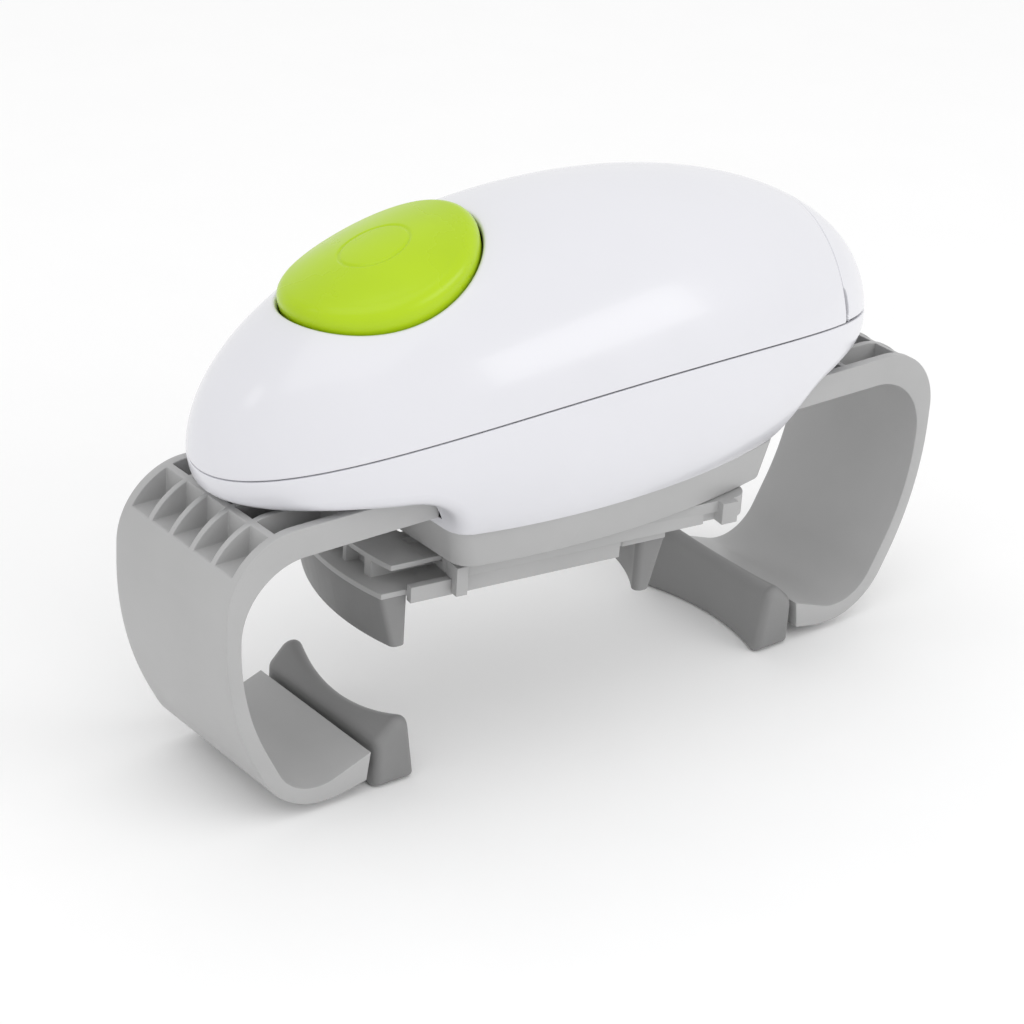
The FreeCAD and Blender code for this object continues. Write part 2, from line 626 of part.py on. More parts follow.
def make_base_cover():
    """Grey drafted tray that closes the housing and carries the carriage."""
    outside = Part.makeLoft([bulged_outline(COVER_FOOT, 0.0, COVER_FLOOR_Z),
                             bulged_outline(COVER_RIM, 0.0, COVER_TOP_Z)], True, True)
    inside = Part.makeLoft([bulged_outline(COVER_FOOT, WALL, COVER_FLOOR_Z + COVER_FLOOR),
                            bulged_outline(COVER_RIM, WALL, COVER_TOP_Z + 1.0)], True, True)
    tray = outside.cut(inside)
    boss_radius = SCREW_HEAD_RADIUS + BOSS_WALL
    bosses = [cylinder(boss_radius, COVER_FLOOR_Z, COVER_TOP_Z, x, y) for x, y in screw_places()]
    collar = cylinder(HUB_RADIUS + 2.0 * BUSH_WALL, COVER_FLOOR_Z, COVER_FLOOR_Z + BUSH_HEIGHT)
    tray = fuse(tray, collar, *bosses)
    head_seat = COVER_FLOOR_Z + SCREW_SINK + SCREW_HEAD_HEIGHT
    for x, y in screw_places():
        tray = tray.cut(cylinder(SCREW_RADIUS, COVER_FLOOR_Z, COVER_TOP_Z, x, y))
        tray = tray.cut(cylinder(SCREW_HEAD_RADIUS, COVER_FLOOR_Z, head_seat, x, y))
    return tray.cut(cylinder(HUB_RADIUS + BUSH_WALL, COVER_FLOOR_Z, COVER_TOP_Z))


def screw_places():
    """The four housing screws."""
    screw_x = GUIDE_HALF_LENGTH - SCREW_INSET
    return [(sx * screw_x, sy * SCREW_Y) for sx in (-1, 1) for sy in (-1, 1)]


def make_housing_screws():
    """Four screws that hold the base cover to the arm guide."""
    screws = []
    for x, y in screw_places():
        head_z = COVER_FLOOR_Z + SCREW_SINK
        head = cylinder(SCREW_HEAD_RADIUS - 2.0 * SCREW_FIT, head_z, head_z + SCREW_HEAD_HEIGHT, x, y)
        shank = cylinder(SCREW_RADIUS - SCREW_FIT, head_z, GUIDE_PLATE_TOP_Z - FLAT_GAP, x, y)
        screws.append(fuse(head, shank))
    return Part.makeCompound(screws)


def make_arm_guide():
    """Plate and two rails that the arm bars slide on and between."""
    half = GUIDE_HALF_WIDTH
    length = GUIDE_HALF_LENGTH
    rail_in = ARM_WIDTH / 2.0 + 2.0 * FLAT_GAP
    plate = box(-length, length, -half, half, COVER_TOP_Z, GUIDE_PLATE_TOP_Z)
    right_rail = box(-length, length, rail_in, half, COVER_TOP_Z, CHASSIS_Z)
    left_rail = box(-length, length, -half, -rail_in, COVER_TOP_Z, CHASSIS_Z)
    guide = fuse(plate, right_rail, left_rail)
    for x, y in screw_places():
        guide = guide.cut(cylinder(SCREW_RADIUS, COVER_TOP_Z, GUIDE_PLATE_TOP_Z, x, y))
    return guide.cut(cylinder(HUB_RADIUS + BUSH_WALL, COVER_TOP_Z, GUIDE_PLATE_TOP_Z))


# ---- arms ------------------------------------------------------------------
def arm_paths():
    """Outer and inner outline of the right arm, with their corner radii."""
    heel_x = ARM_REACH - ARM_HEEL_INSET
    toe_x = ARM_REACH - ARM_TOE_INSET
    inner_x = ARM_REACH - ARM_BAND
    outer = [(ARM_BAR_END_X, ARM_TOP_Z), (ARM_REACH, ARM_TOP_Z), (ARM_REACH, ARM_KNEE_Z),
             (heel_x, ARM_SOLE_Z), (toe_x, ARM_SOLE_Z), (ARM_REACH - ARM_TIP_LOW_INSET, ARM_TIP_LOW_Z)]
    radii = [ARM_CORNER_RADIUS, ARM_KNEE_RADIUS, ARM_HEEL_RADIUS, ARM_TOE_RADIUS]
    lean = (ARM_REACH - heel_x) / (ARM_KNEE_Z - ARM_SOLE_Z)
    knee_z = ARM_KNEE_Z + ARM_BAND * (math.hypot(1.0, lean) - 1.0) / lean
    inner = [(ARM_BAR_END_X, BAR_BOTTOM_Z), (inner_x, BAR_BOTTOM_Z), (inner_x, knee_z),
             (ARM_REACH - ARM_INSTEP_INSET, ARM_INSTEP_Z), (arm_tip_x(), ARM_TIP_HIGH_Z)]
    inner_radii = [ARM_INNER_CORNER_RADIUS, ARM_INNER_KNEE_RADIUS, ARM_INSTEP_RADIUS]
    return outer, radii, inner, inner_radii


def arm_tip_x():
    """Upper end of the foot, next to the pad."""
    return ARM_REACH - ARM_TIP_HIGH_INSET


def arm_band():
    """The arm's C-shaped band with softly rounded long edges."""
    outer, radii, inner, inner_radii = arm_paths()
    edges = rounded_edges(outer, radii, upright)
    edges.append(Part.makeLine(upright(*outer[-1]), upright(*inner[-1])))
    edges += rounded_edges(inner, inner_radii, upright)
    edges.append(Part.makeLine(upright(*inner[0]), upright(*outer[0])))
    return extrude_across(Part.__sortEdges__(edges), ARM_WIDTH / 2.0)


def pocket_rows():
    """Inner end, outer end and floor of each row of pockets in the arm's corner."""
    half_rib = POCKET_RIB / 2.0
    cross_rib = ARM_REACH - POCKET_CROSS_RIB_INSET
    second_rib = ARM_REACH - POCKET_SECOND_RIB_INSET
    inner_end = ARM_REACH - POCKET_INNER_INSET
    floor = BAR_BOTTOM_Z + POCKET_SKIN
    return [(cross_rib + half_rib, ARM_REACH + 1.0, POCKET_CORNER_Z),
            (second_rib + half_rib, cross_rib - half_rib, floor),
            (inner_end + half_rib, second_rib - half_rib, floor)]


def arm_pockets():
    """Open pockets between the ribs on top of the arm."""
    clear = ARM_WIDTH - 2.0 * POCKET_SIDE_WALL - (POCKET_COUNT - 1) * POCKET_RIB
    width = clear / POCKET_COUNT
    pockets = []
    for number in range(POCKET_COUNT):
        y0 = -ARM_WIDTH / 2.0 + POCKET_SIDE_WALL + number * (width + POCKET_RIB)
        for x0, x1, floor in pocket_rows():
            pockets.append(box(x0, x1, y0, y0 + width, floor, ARM_TOP_Z + 1.0))
    return Part.makeCompound(pockets)


def arm_rack():
    """Toothed tongue that reaches past the pinion, on the +Y side."""
    z1 = ARM_TOP_Z - FLAT_GAP
    return rack(-RACK_TONGUE_TIP, ARM_BAR_END_X + 1.0, RACK_PITCH_RADIUS, RACK_BACKING, BAR_BOTTOM_Z, z1)


def rack_slot():
    """Slot in the bar that the other arm's tongue runs into."""
    near = RACK_PITCH_RADIUS - TOOTH_ADDENDUM * RACK_MODULE - RACK_SLOT_GAP
    far = RACK_PITCH_RADIUS + TOOTH_DEDENDUM * RACK_MODULE + RACK_BACKING + RACK_SLOT_GAP
    depth = RACK_TONGUE_TIP + 2.0 * ARM_TRAVEL - ARM_BAR_END_X + RACK_SLOT_GAP
    return box(ARM_BAR_END_X - 1.0, ARM_BAR_END_X + depth, -far, -near, 0.9 * BAR_BOTTOM_Z, ARM_TOP_Z + 1.0)


def arm_tongue():
    """Flat tongue at the tip that the pad is moulded onto."""
    back_x = arm_tip_x() - PAD_SLOT
    return box(back_x - PAD_TONGUE_LENGTH, arm_tip_x() + PAD_TONGUE_ROOT, -PAD_TONGUE_HALF, PAD_TONGUE_HALF,
               PAD_TONGUE_Z, PAD_TONGUE_Z + PAD_TONGUE_THICK)


def make_arm():
    """Right arm: band, ribbed corner, rack tongue and pad tongue."""
    band = arm_band().cut(arm_pockets())
    return fuse(band, arm_tongue(), arm_rack()).cut(rack_slot())


def make_arm_pad():
    """Rubber pad on the right arm's tip: leaning hollow face, raised lip, full ends."""
    outer_x = arm_tip_x() - PAD_SLOT
    inner_x = outer_x - PAD_THICK
    profile = [(inner_x, 0.0), (inner_x + PAD_LEAN, PAD_HIGH_Z), (outer_x, PAD_LOW_Z), (outer_x, 0.0)]
    corners = [Vector(x, 0, z) for x, z in profile]
    edges = [Part.makeLine(a, b) for a, b in zip(corners, corners[1:] + corners[:1])]
    block = extrude_across(edges, PAD_HALF_WIDTH)
    block = block.makeFillet(PAD_ROUND, [edge for edge in block.Edges if edge.BoundBox.ZMax > PAD_LOW_Z - 0.1])
    half = PAD_HALF_WIDTH - PAD_END_LIP
    radius = (half ** 2 + PAD_HOLLOW_DEPTH ** 2) / (2.0 * PAD_HOLLOW_DEPTH)
    circle = Part.Circle(Vector(inner_x + PAD_HOLLOW_DEPTH - radius, 0, 0), Vector(0, 0, 1), radius)
    hollow = Part.Face(Part.Wire(circle.toShape())).extrude(Vector(PAD_LEAN, 0, PAD_HIGH_Z))
    return block.cut(hollow).cut(arm_tongue())


def make_arm_pinion():
    """Pinion between the two arm racks, free on the carriage shaft."""
    top = ARM_TOP_Z - FLAT_GAP
    wheel = gear(ARM_PINION_TEETH, RACK_MODULE, BAR_BOTTOM_Z, top, math.pi / 2.0)
    hub = cylinder(SHAFT_RADIUS + 2.0, HUB_TOP_Z + RETAINER_HEIGHT + FLAT_GAP, BAR_BOTTOM_Z)
    return fuse(wheel, hub).cut(cylinder(SHAFT_RADIUS + RUNNING_GAP, 0.0, ARM_TOP_Z))


# ---- gear train ------------------------------------------------------------
def train_places():
    """Centres of the motor, the first wheel and the second wheel."""
    wheel_step = TRAIN_MODULE * (WHEEL_TEETH + PINION_TEETH) / 2.0 + TRAIN_CENTRE_SLACK
    output_step = TRAIN_MODULE * (OUTPUT_TEETH + PINION_TEETH) / 2.0 + TRAIN_CENTRE_SLACK
    motor = Vector(MOTOR_X, 0, 0)
    first = motor + Vector(math.cos(FIRST_WHEEL_ANGLE), math.sin(FIRST_WHEEL_ANGLE), 0) * wheel_step
    along = (output_step ** 2 - wheel_step ** 2 + first.Length ** 2) / (2.0 * first.Length)
    aside = math.sqrt(output_step ** 2 - along ** 2)
    direction = Vector(first.x, first.y, 0).normalize()
    second = direction * along + Vector(-direction.y, direction.x, 0) * aside
    return motor, first, second


def direction_angle(start, end):
    """Angle of the line from start to end."""
    return math.atan2(end.y - start.y, end.x - start.x)


def train_phases():
    """Tooth angles of the second wheel, the first wheel and the motor pinion."""
    motor, first, second = train_places()
    second_phase = meshing_phase(0.0, OUTPUT_TEETH, PINION_TEETH, direction_angle(Vector(), second))
    first_phase = meshing_phase(second_phase, WHEEL_TEETH, PINION_TEETH, direction_angle(second, first))
    motor_phase = meshing_phase(first_phase, WHEEL_TEETH, PINION_TEETH, direction_angle(first, motor))
    return motor_phase, first_phase, second_phase


def compound_gear(centre, phase, pinion_z, wheel_z):
    """Large wheel with a small pinion below it, bored for its pin."""
    pinion = gear(PINION_TEETH, TRAIN_MODULE, pinion_z, wheel_z, phase)
    wheel = gear(WHEEL_TEETH, TRAIN_MODULE, wheel_z, wheel_z + GEAR_FACE, phase)
    both = fuse(wheel, pinion).cut(cylinder(GEAR_PIN_RADIUS + RUNNING_GAP, 0.0, 2.0 * WAIST_Z))
    both.translate(centre)
    return both


def make_gear_chassis():
    """Lower plate of the gear train, with the bores of its pins."""
    _, first, second = train_places()
    plate = box(-CHASSIS_HALF_LENGTH, CHASSIS_HALF_LENGTH, -CHASSIS_HALF_WIDTH, CHASSIS_HALF_WIDTH,
                CHASSIS_Z, CHASSIS_TOP_Z)
    plate = plate.cut(cylinder(SHAFT_RADIUS + RUNNING_GAP, CHASSIS_Z, CHASSIS_TOP_Z))
    for place in (first, second):
        plate = plate.cut(cylinder(GEAR_PIN_RADIUS, CHASSIS_Z, CHASSIS_TOP_Z, place.x, place.y))
    return plate


def make_train_plate():
    """Upper plate of the gear train, on three posts; it carries the motor."""
    motor, first, second = train_places()
    corners = [Vector(x, y, TRAIN_PLATE_Z) for x, y in POSTS]
    margin = POST_RADIUS + 1.0
    plate = box(POSTS[2][0] - margin, POSTS[0][0] + margin, POSTS[1][1] - margin, POSTS[0][1] + margin,
                TRAIN_PLATE_Z, MOTOR_Z)
    posts = [cylinder(POST_RADIUS, CHASSIS_TOP_Z, TRAIN_PLATE_Z, place.x, place.y) for place in corners]
    plate = fuse(plate, *posts)
    for place in (first, second):
        plate = plate.cut(cylinder(GEAR_PIN_RADIUS, TRAIN_PLATE_Z, MOTOR_Z, place.x, place.y))
    return plate.cut(cylinder(MOTOR_BOSS_RADIUS, TRAIN_PLATE_Z, MOTOR_Z, motor.x, motor.y))


def make_gear_pins():
    """The two fixed pins of the reduction gears."""
    _, first, second = train_places()
    return Part.makeCompound([cylinder(GEAR_PIN_RADIUS, CHASSIS_Z, MOTOR_Z, place.x, place.y)
                              for place in (first, second)])


def make_motor():
    """Round-can motor, shaft down, with its boss in the upper plate."""
    motor, _, _ = train_places()
    can = cylinder(MOTOR_RADIUS, MOTOR_Z, MOTOR_Z + MOTOR_LENGTH, motor.x, motor.y)
    boss = cylinder(MOTOR_BOSS_RADIUS, TRAIN_PLATE_Z, MOTOR_Z, motor.x, motor.y)
    cap = cylinder(MOTOR_BOSS_RADIUS, MOTOR_Z + MOTOR_LENGTH, MOTOR_Z + MOTOR_LENGTH + 1.4, motor.x, motor.y)
    bore = cylinder(MOTOR_SHAFT_RADIUS + RUNNING_GAP, TRAIN_PLATE_Z, MOTOR_Z + GEAR_STEP, motor.x, motor.y)
    return fuse(can, boss, cap).cut(bore)


def make_motor_pinion():
    """Motor shaft with its pinion."""
    motor, _, _ = train_places()
    phase, _, _ = train_phases()
    pinion = gear(PINION_TEETH, TRAIN_MODULE, FIRST_WHEEL_Z, FIRST_WHEEL_Z + GEAR_FACE, phase)
    shaft = cylinder(MOTOR_SHAFT_RADIUS, FIRST_WHEEL_Z, MOTOR_Z + GEAR_STEP)
    both = fuse(pinion, shaft)
    both.translate(motor)
    return both


def make_first_gear():
    """Reduction gear driven by the motor pinion."""
    _, first, _ = train_places()
    _, phase, _ = train_phases()
    return compound_gear(first, phase, SECOND_WHEEL_Z, FIRST_WHEEL_Z)


def make_second_gear():
    """Reduction gear that drives the output gear."""
    _, _, second = train_places()
    _, _, phase = train_phases()
    return compound_gear(second, phase, OUTPUT_Z, SECOND_WHEEL_Z)


def make_output_gear():
    """Last gear, fixed on the carriage shaft."""
    wheel = gear(OUTPUT_TEETH, TRAIN_MODULE, OUTPUT_Z, OUTPUT_Z + GEAR_FACE, 0.0)
    return wheel.cut(cylinder(SHAFT_RADIUS, OUTPUT_Z, OUTPUT_Z + GEAR_FACE))


def make_carriage_shaft():
    """Upright shaft from the carriage hub to the output gear."""
    return cylinder(SHAFT_RADIUS, CARRIAGE_TOP_Z, OUTPUT_Z + GEAR_FACE)


def make_shaft_bush():
    """Plain bush in the base cover round the carriage hub."""
    ring = cylinder(HUB_RADIUS + BUSH_WALL, COVER_FLOOR_Z, COVER_FLOOR_Z + BUSH_HEIGHT)
    return ring.cut(cylinder(HUB_RADIUS + RUNNING_GAP, COVER_FLOOR_Z, COVER_FLOOR_Z + BUSH_HEIGHT))


def make_hub_retainer():
    """Ring above the bush that carries the weight of the carriage."""
    ring = cylinder(HUB_RADIUS + 1.5, HUB_TOP_Z, HUB_TOP_Z + RETAINER_HEIGHT)
    return ring.cut(cylinder(SHAFT_RADIUS, HUB_TOP_Z, HUB_TOP_Z + RETAINER_HEIGHT))


# ---- lid carriage and jaws -------------------------------------------------
def turned(shape):
    """Turn a shape of the carriage to its rest position."""
    placed = shape.copy()
    placed.rotate(Vector(0, 0, 0), Vector(0, 0, 1), CARRIAGE_TURN)
    return placed


def make_carriage():
    """Turning plate with a T-shaped channel for the jaws and a hub."""
    length = CARRIAGE_HALF_LENGTH
    width = CARRIAGE_HALF_WIDTH
    body = box(-length, length, -width, width, CARRIAGE_BOTTOM_Z, CARRIAGE_TOP_Z)
    upright_edges = [edge for edge in body.Edges if edge.BoundBox.ZLength > 1.0]
    body = body.makeFillet(CARRIAGE_CORNER, upright_edges)
    ceiling = CARRIAGE_TOP_Z - CARRIAGE_PLATE
    lip_top = CARRIAGE_BOTTOM_Z + CARRIAGE_LIP
    channel = box(-length - 1.0, length + 1.0, -CHANNEL_HALF_WIDTH, CHANNEL_HALF_WIDTH, lip_top, ceiling)
    mouth = box(-length - 1.0, length + 1.0, -LIP_HALF_OPENING, LIP_HALF_OPENING, 0.0, lip_top)
    slot_half = CARRIAGE_OFFSET + SHUTTLE_HALF_LENGTH + SLIDE_GAP
    slot_width = SHUTTLE_HALF_WIDTH + SLIDE_GAP
    slot = box(-slot_half, slot_half, -slot_width, slot_width, ceiling, CARRIAGE_TOP_Z)
    hub = cylinder(HUB_RADIUS, CARRIAGE_TOP_Z, HUB_TOP_Z).cut(cylinder(SHAFT_RADIUS, CARRIAGE_TOP_Z, HUB_TOP_Z))
    body = fuse(body.cut(channel).cut(mouth).cut(slot), hub)
    lug_end = LUG_X - LUG_LENGTH
    lug = box(lug_end, LUG_X, -width - LUG_THICK, -width + OVERLAP, CARRIAGE_TOP_Z - LUG_HEIGHT, CARRIAGE_TOP_Z)
    recess = box(lug_end - NOTCH_LENGTH, lug_end, -width - 1.0, -width + NOTCH_SINK,
                 0.0, CARRIAGE_BOTTOM_Z + NOTCH_HEIGHT)
    hook_end = HOOK_LENGTH - length
    hook = box(-length, hook_end, -width - LUG_THICK, HOOK_ROOT - width, CARRIAGE_BOTTOM_Z, HOOK_TOP_Z)
    hook_tip = box(-length, hook_end, -width - LUG_THICK, -width + OVERLAP, HOOK_LOW_Z, HOOK_TOP_Z)
    extras = fuse(hook, hook_tip, lug)
    body = fuse(body.cut(recess).cut(half_turned(recess)), extras, half_turned(extras))
    return turned(body)


def carried(shape):
    """Place a shape of the jaw group, which rests off-centre on the carriage."""
    placed = shape.copy()
    placed.translate(Vector(-CARRIAGE_OFFSET, 0, 0))
    return turned(placed)


def make_jaw_shuttle():
    """Sliding block in the carriage slot, with the pin of the jaw pinion."""
    ceiling = CARRIAGE_TOP_Z - CARRIAGE_PLATE
    block = box(-SHUTTLE_HALF_LENGTH, SHUTTLE_HALF_LENGTH, -SHUTTLE_HALF_WIDTH, SHUTTLE_HALF_WIDTH,
                ceiling, CARRIAGE_TOP_Z - 0.1)
    pin = cylinder(SHUTTLE_PIN_RADIUS, JAW_RACK_Z, ceiling)
    return carried(fuse(block, pin))


def make_jaw_pinion():
    """Pinion between the two jaw racks."""
    wheel = gear(JAW_PINION_TEETH, RACK_MODULE, JAW_RACK_Z, JAW_PLATE_TOP_Z - 0.1, math.pi / 2.0)
    return carried(wheel.cut(cylinder(SHUTTLE_PIN_RADIUS + RUNNING_GAP, 0.0, CARRIAGE_TOP_Z)))


def jaw_block(z0, z1, lean, half_width, setback=0.0):
    """Part of the jaw's plan between two heights, with a curved outer face."""
    centre_x = JAW_OUTER_X - setback - JAW_OUTER_RADIUS
    if lean > 0.0:
        round_body = Part.makeCone(JAW_OUTER_RADIUS - lean, JAW_OUTER_RADIUS, z1 - z0, Vector(centre_x, 0, z0))
    else:
        round_body = cylinder(JAW_OUTER_RADIUS, z0, z1, centre_x, 0.0)
    block = box(JAW_BODY_INNER_X, JAW_OUTER_X + 1.0, -half_width, half_width, z0, z1)
    return round_body.common(block)


def make_jaw_pad():
    """Rubber pad of the right jaw: hollow gripping face, leaning outer face."""
    block = jaw_block(PAD_JOIN_Z - JAW_PAD_HEIGHT, PAD_JOIN_Z, JAW_TAPER, JAW_HALF_WIDTH)
    grip = cylinder(JAW_INNER_RADIUS, 0.0, CARRIAGE_TOP_Z, JAW_INNER_X - JAW_INNER_RADIUS, 0.0)
    pad = block.cut(grip)
    ends = [edge for edge in pad.Edges
            if edge.BoundBox.ZLength > 0.8 * JAW_PAD_HEIGHT and abs(edge.BoundBox.Center.y) > JAW_HALF_WIDTH - 1.0]
    return carried(pad.makeFillet(JAW_CORNER_ROUND, ends))


def jaw_pockets():
    """Three square pockets in the outer end of the slider."""
    floor = JAW_FLANGE_TOP_Z
    top = JAW_PLATE_TOP_Z - JAW_PLATE_THICK
    pitch = JAW_POCKET_WIDTH + JAW_POCKET_RIB
    back_x = JAW_OUTER_X - JAW_PLATE_SETBACK - JAW_POCKET_DEPTH
    pockets = []
    for number in (-1, 0, 1):
        y0 = number * pitch - JAW_POCKET_WIDTH / 2.0
        pockets.append(box(back_x, JAW_OUTER_X, y0, y0 + JAW_POCKET_WIDTH, floor, top))
    return Part.makeCompound(pockets)


def make_jaw_slider():
    """Right jaw's slider: top plate, neck, flange, rack tongue and side runner."""
    plate_bottom = JAW_PLATE_TOP_Z - JAW_PLATE_THICK
    plate = jaw_block(plate_bottom, JAW_PLATE_TOP_Z, 0.0, CHANNEL_HALF_WIDTH - SLIDE_GAP, JAW_PLATE_SETBACK)
    neck = jaw_block(JAW_FLANGE_TOP_Z, plate_bottom, 0.0, JAW_NECK_HALF_WIDTH, JAW_PLATE_SETBACK)
    neck = neck.cut(jaw_pockets())
    flange = jaw_block(PAD_JOIN_Z, JAW_FLANGE_TOP_Z, 0.0, JAW_HALF_WIDTH)
    tongue = rack(-RACK_JAW_TIP, JAW_BODY_INNER_X + 1.0, JAW_PITCH_RADIUS, RACK_BACKING,
                  JAW_RACK_Z, JAW_PLATE_TOP_Z)
    near = JAW_HALF_WIDTH + RUNNER_GAP
    root_x = JAW_BODY_INNER_X + RUNNER_ROOT
    arm = box(JAW_BODY_INNER_X, root_x, JAW_HALF_WIDTH - 1.0, near + RUNNER_THICK, PAD_JOIN_Z, JAW_FLANGE_TOP_Z)
    runner = box(-RUNNER_TIP_X, root_x, near, near + RUNNER_THICK, RUNNER_LOW_Z, RUNNER_TOP_Z)
    slot_near = JAW_PITCH_RADIUS - TOOTH_ADDENDUM * RACK_MODULE - RACK_SLOT_GAP
    slot_far = JAW_PITCH_RADIUS + TOOTH_DEDENDUM * RACK_MODULE + RACK_BACKING + RACK_SLOT_GAP
    slot_depth = RACK_JAW_TIP + 2.0 * JAW_TRAVEL_IN - JAW_BODY_INNER_X + RACK_SLOT_GAP
    slot = box(JAW_BODY_INNER_X - 1.0, JAW_BODY_INNER_X + slot_depth, -slot_far, -slot_near,
               JAW_FLANGE_TOP_Z + 0.1, JAW_PLATE_TOP_Z + 1.0)
    return carried(fuse(plate, neck, flange, tongue, arm, runner).cut(slot))


def opposite_jaw(shape):
    """The left jaw is the right one turned half a turn about the pinion."""
    centre = turned(Part.Vertex(Vector(-CARRIAGE_OFFSET, 0, 0))).Point
    placed = shape.copy()
    placed.rotate(centre, Vector(0, 0, 1), 180.0)
    return placed


# ---- batteries -------------------------------------------------------------
def make_cell(side):
    """One AA cell lying along X, its nipple towards the contacts or the door."""
    y = side * CELL_PITCH / 2.0
    body = Part.makeCylinder(CELL_RADIUS, CELL_LENGTH, Vector(CELL_X, y, CELL_Z), Vector(1, 0, 0))
    tip_x = CELL_X + CELL_LENGTH if side > 0 else CELL_X - CELL_NIPPLE
    nipple = Part.makeCylinder(CELL_NIPPLE_RADIUS, CELL_NIPPLE, Vector(tip_x, y, CELL_Z), Vector(1, 0, 0))
    return fuse(body, nipple)


def make_battery_tray():
    """Cradle with two round beds, an end wall and feet on the chassis."""
    half = CELL_PITCH / 2.0 + CELL_RADIUS + CELL_GAP + TRAY_WALL
    back = CELL_X - CELL_NIPPLE - 2.0 * CONTACT_SHEET - TRAY_WALL
    low = CELL_Z - CELL_RADIUS - CELL_GAP - TRAY_FLOOR
    block = box(back, CELL_X + CELL_LENGTH, -half, half, low, CELL_Z)
    bed_x = back + TRAY_WALL
    for side in (-1, 1):
        bed = Part.makeCylinder(CELL_RADIUS + CELL_GAP, CELL_LENGTH * 2.0,
                                Vector(bed_x, side * CELL_PITCH / 2.0, CELL_Z), Vector(1, 0, 0))
        block = block.cut(bed)
    feet = [box(x, x + 3.0, -half, half, CHASSIS_TOP_Z, low) for x in (CELL_X + 2.0, CHASSIS_HALF_LENGTH - 5.0)]
    return fuse(block, *feet)


def make_battery_contacts():
    """Two spring strips at the inner end of the cells."""
    wall = CELL_X - CELL_NIPPLE - 2.0 * CONTACT_SHEET
    strips = []
    for side in (-1, 1):
        y = side * CELL_PITCH / 2.0
        strips.append(box(wall, wall + CONTACT_SHEET, y - 4.0, y + 4.0, CELL_Z - 5.0, CELL_Z + 5.0))
    return Part.makeCompound(strips)


def make_door_contact():
    """Bridge plate on the door's web."""
    x1 = DOOR_X + DOOR_GAP + 3.0
    half = CELL_PITCH / 2.0 + 4.0
    return box(x1 - CONTACT_SHEET, x1, -half, half, SEAM_TOP_Z, SEAM_TOP_Z + 5.0)


def export(name, shape):
    """Write one node."""
    shape.exportStep("parts/" + name + ".step")


def main():
    """Build every node and write it."""
    os.makedirs("parts", exist_ok=True)
    outer = egg()
    inner = egg(WALL)
    export("upper_shell", make_upper_shell(outer, inner))
    export("lower_shell", make_lower_shell(outer, inner))
    export("battery_door", make_battery_door(outer, inner))
    export("button", make_button())
    export("button_guide", make_button_guide(inner))
    export("button_spring", make_button_spring())
    export("control_board", make_control_board())
    export("power_switch", make_power_switch())
    export("base_cover", make_base_cover())
    export("arm_guide", make_arm_guide())
    export("housing_screws", make_housing_screws())
    arm = make_arm()
    arm_pad = make_arm_pad()
    export("arm_right", arm)
    export("arm_pad_right", arm_pad)
    half_turn = (Vector(0, 0, 0), Vector(0, 0, 1), 180.0)
    arm_left = arm.copy()
    arm_left.rotate(*half_turn)
    export("arm_left", arm_left)
    export("arm_pad_left", mirrored(arm_pad))
    export("arm_pinion", make_arm_pinion())
    export("gear_chassis", make_gear_chassis())
    export("train_plate", make_train_plate())
    export("gear_pins", make_gear_pins())
    export("motor", make_motor())
    export("motor_pinion", make_motor_pinion())
    export("reduction_gear_1", make_first_gear())
    export("reduction_gear_2", make_second_gear())
    export("output_gear", make_output_gear())
    export("carriage_shaft", make_carriage_shaft())
    export("shaft_bush", make_shaft_bush())
    export("hub_retainer", make_hub_retainer())
    export("carriage", make_carriage())
    export("jaw_shuttle", make_jaw_shuttle())
    export("jaw_pinion", make_jaw_pinion())
    slider = make_jaw_slider()
    pad = make_jaw_pad()
    export("jaw_slider_right", slider)
    export("jaw_pad_right", pad)
    export("jaw_slider_left", opposite_jaw(slider))
    export("jaw_pad_left", opposite_jaw(pad))
    export("battery_1", make_cell(-1))
    export("battery_2", make_cell(1))
    export("battery_tray", make_battery_tray())
    export("battery_contacts", make_battery_contacts())
    export("door_contact", make_door_contact())


main()
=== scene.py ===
"""Dressed model of a battery jar opener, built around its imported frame.

Every length is in metres, in the frame's own coordinates: +X along the housing towards the
battery door, +Z up, the arms standing on z = 0.
"""

import json
import logging
import math
from dataclasses import dataclass, field
from enum import Enum

import bmesh
import bpy
import numpy as np
from mathutils import Matrix, Vector

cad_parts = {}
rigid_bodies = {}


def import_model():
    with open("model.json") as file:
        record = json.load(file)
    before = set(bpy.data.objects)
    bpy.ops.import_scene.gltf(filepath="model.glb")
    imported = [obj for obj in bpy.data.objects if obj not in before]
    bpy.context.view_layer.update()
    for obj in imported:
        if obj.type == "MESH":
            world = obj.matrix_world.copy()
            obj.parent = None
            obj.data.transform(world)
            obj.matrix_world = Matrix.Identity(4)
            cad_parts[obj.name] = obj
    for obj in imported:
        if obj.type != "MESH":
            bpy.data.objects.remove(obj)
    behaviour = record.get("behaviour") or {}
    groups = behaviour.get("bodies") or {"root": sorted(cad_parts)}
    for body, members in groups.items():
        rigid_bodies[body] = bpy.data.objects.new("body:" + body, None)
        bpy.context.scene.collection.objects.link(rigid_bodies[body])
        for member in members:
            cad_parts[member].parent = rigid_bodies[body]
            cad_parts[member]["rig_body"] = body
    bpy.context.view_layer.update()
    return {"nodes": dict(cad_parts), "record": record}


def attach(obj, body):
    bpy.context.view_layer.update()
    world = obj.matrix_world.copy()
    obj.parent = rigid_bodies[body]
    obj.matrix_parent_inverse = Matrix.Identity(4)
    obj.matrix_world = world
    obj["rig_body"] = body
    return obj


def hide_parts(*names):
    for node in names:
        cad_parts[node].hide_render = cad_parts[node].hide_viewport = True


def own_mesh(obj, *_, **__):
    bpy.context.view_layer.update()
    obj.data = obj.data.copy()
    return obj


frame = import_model()
LOG = logging.getLogger("jar_opener")
MM = 0.001
NOISE_ENDS = (0.3, 0.7)
DENSE_TURNS = 4000


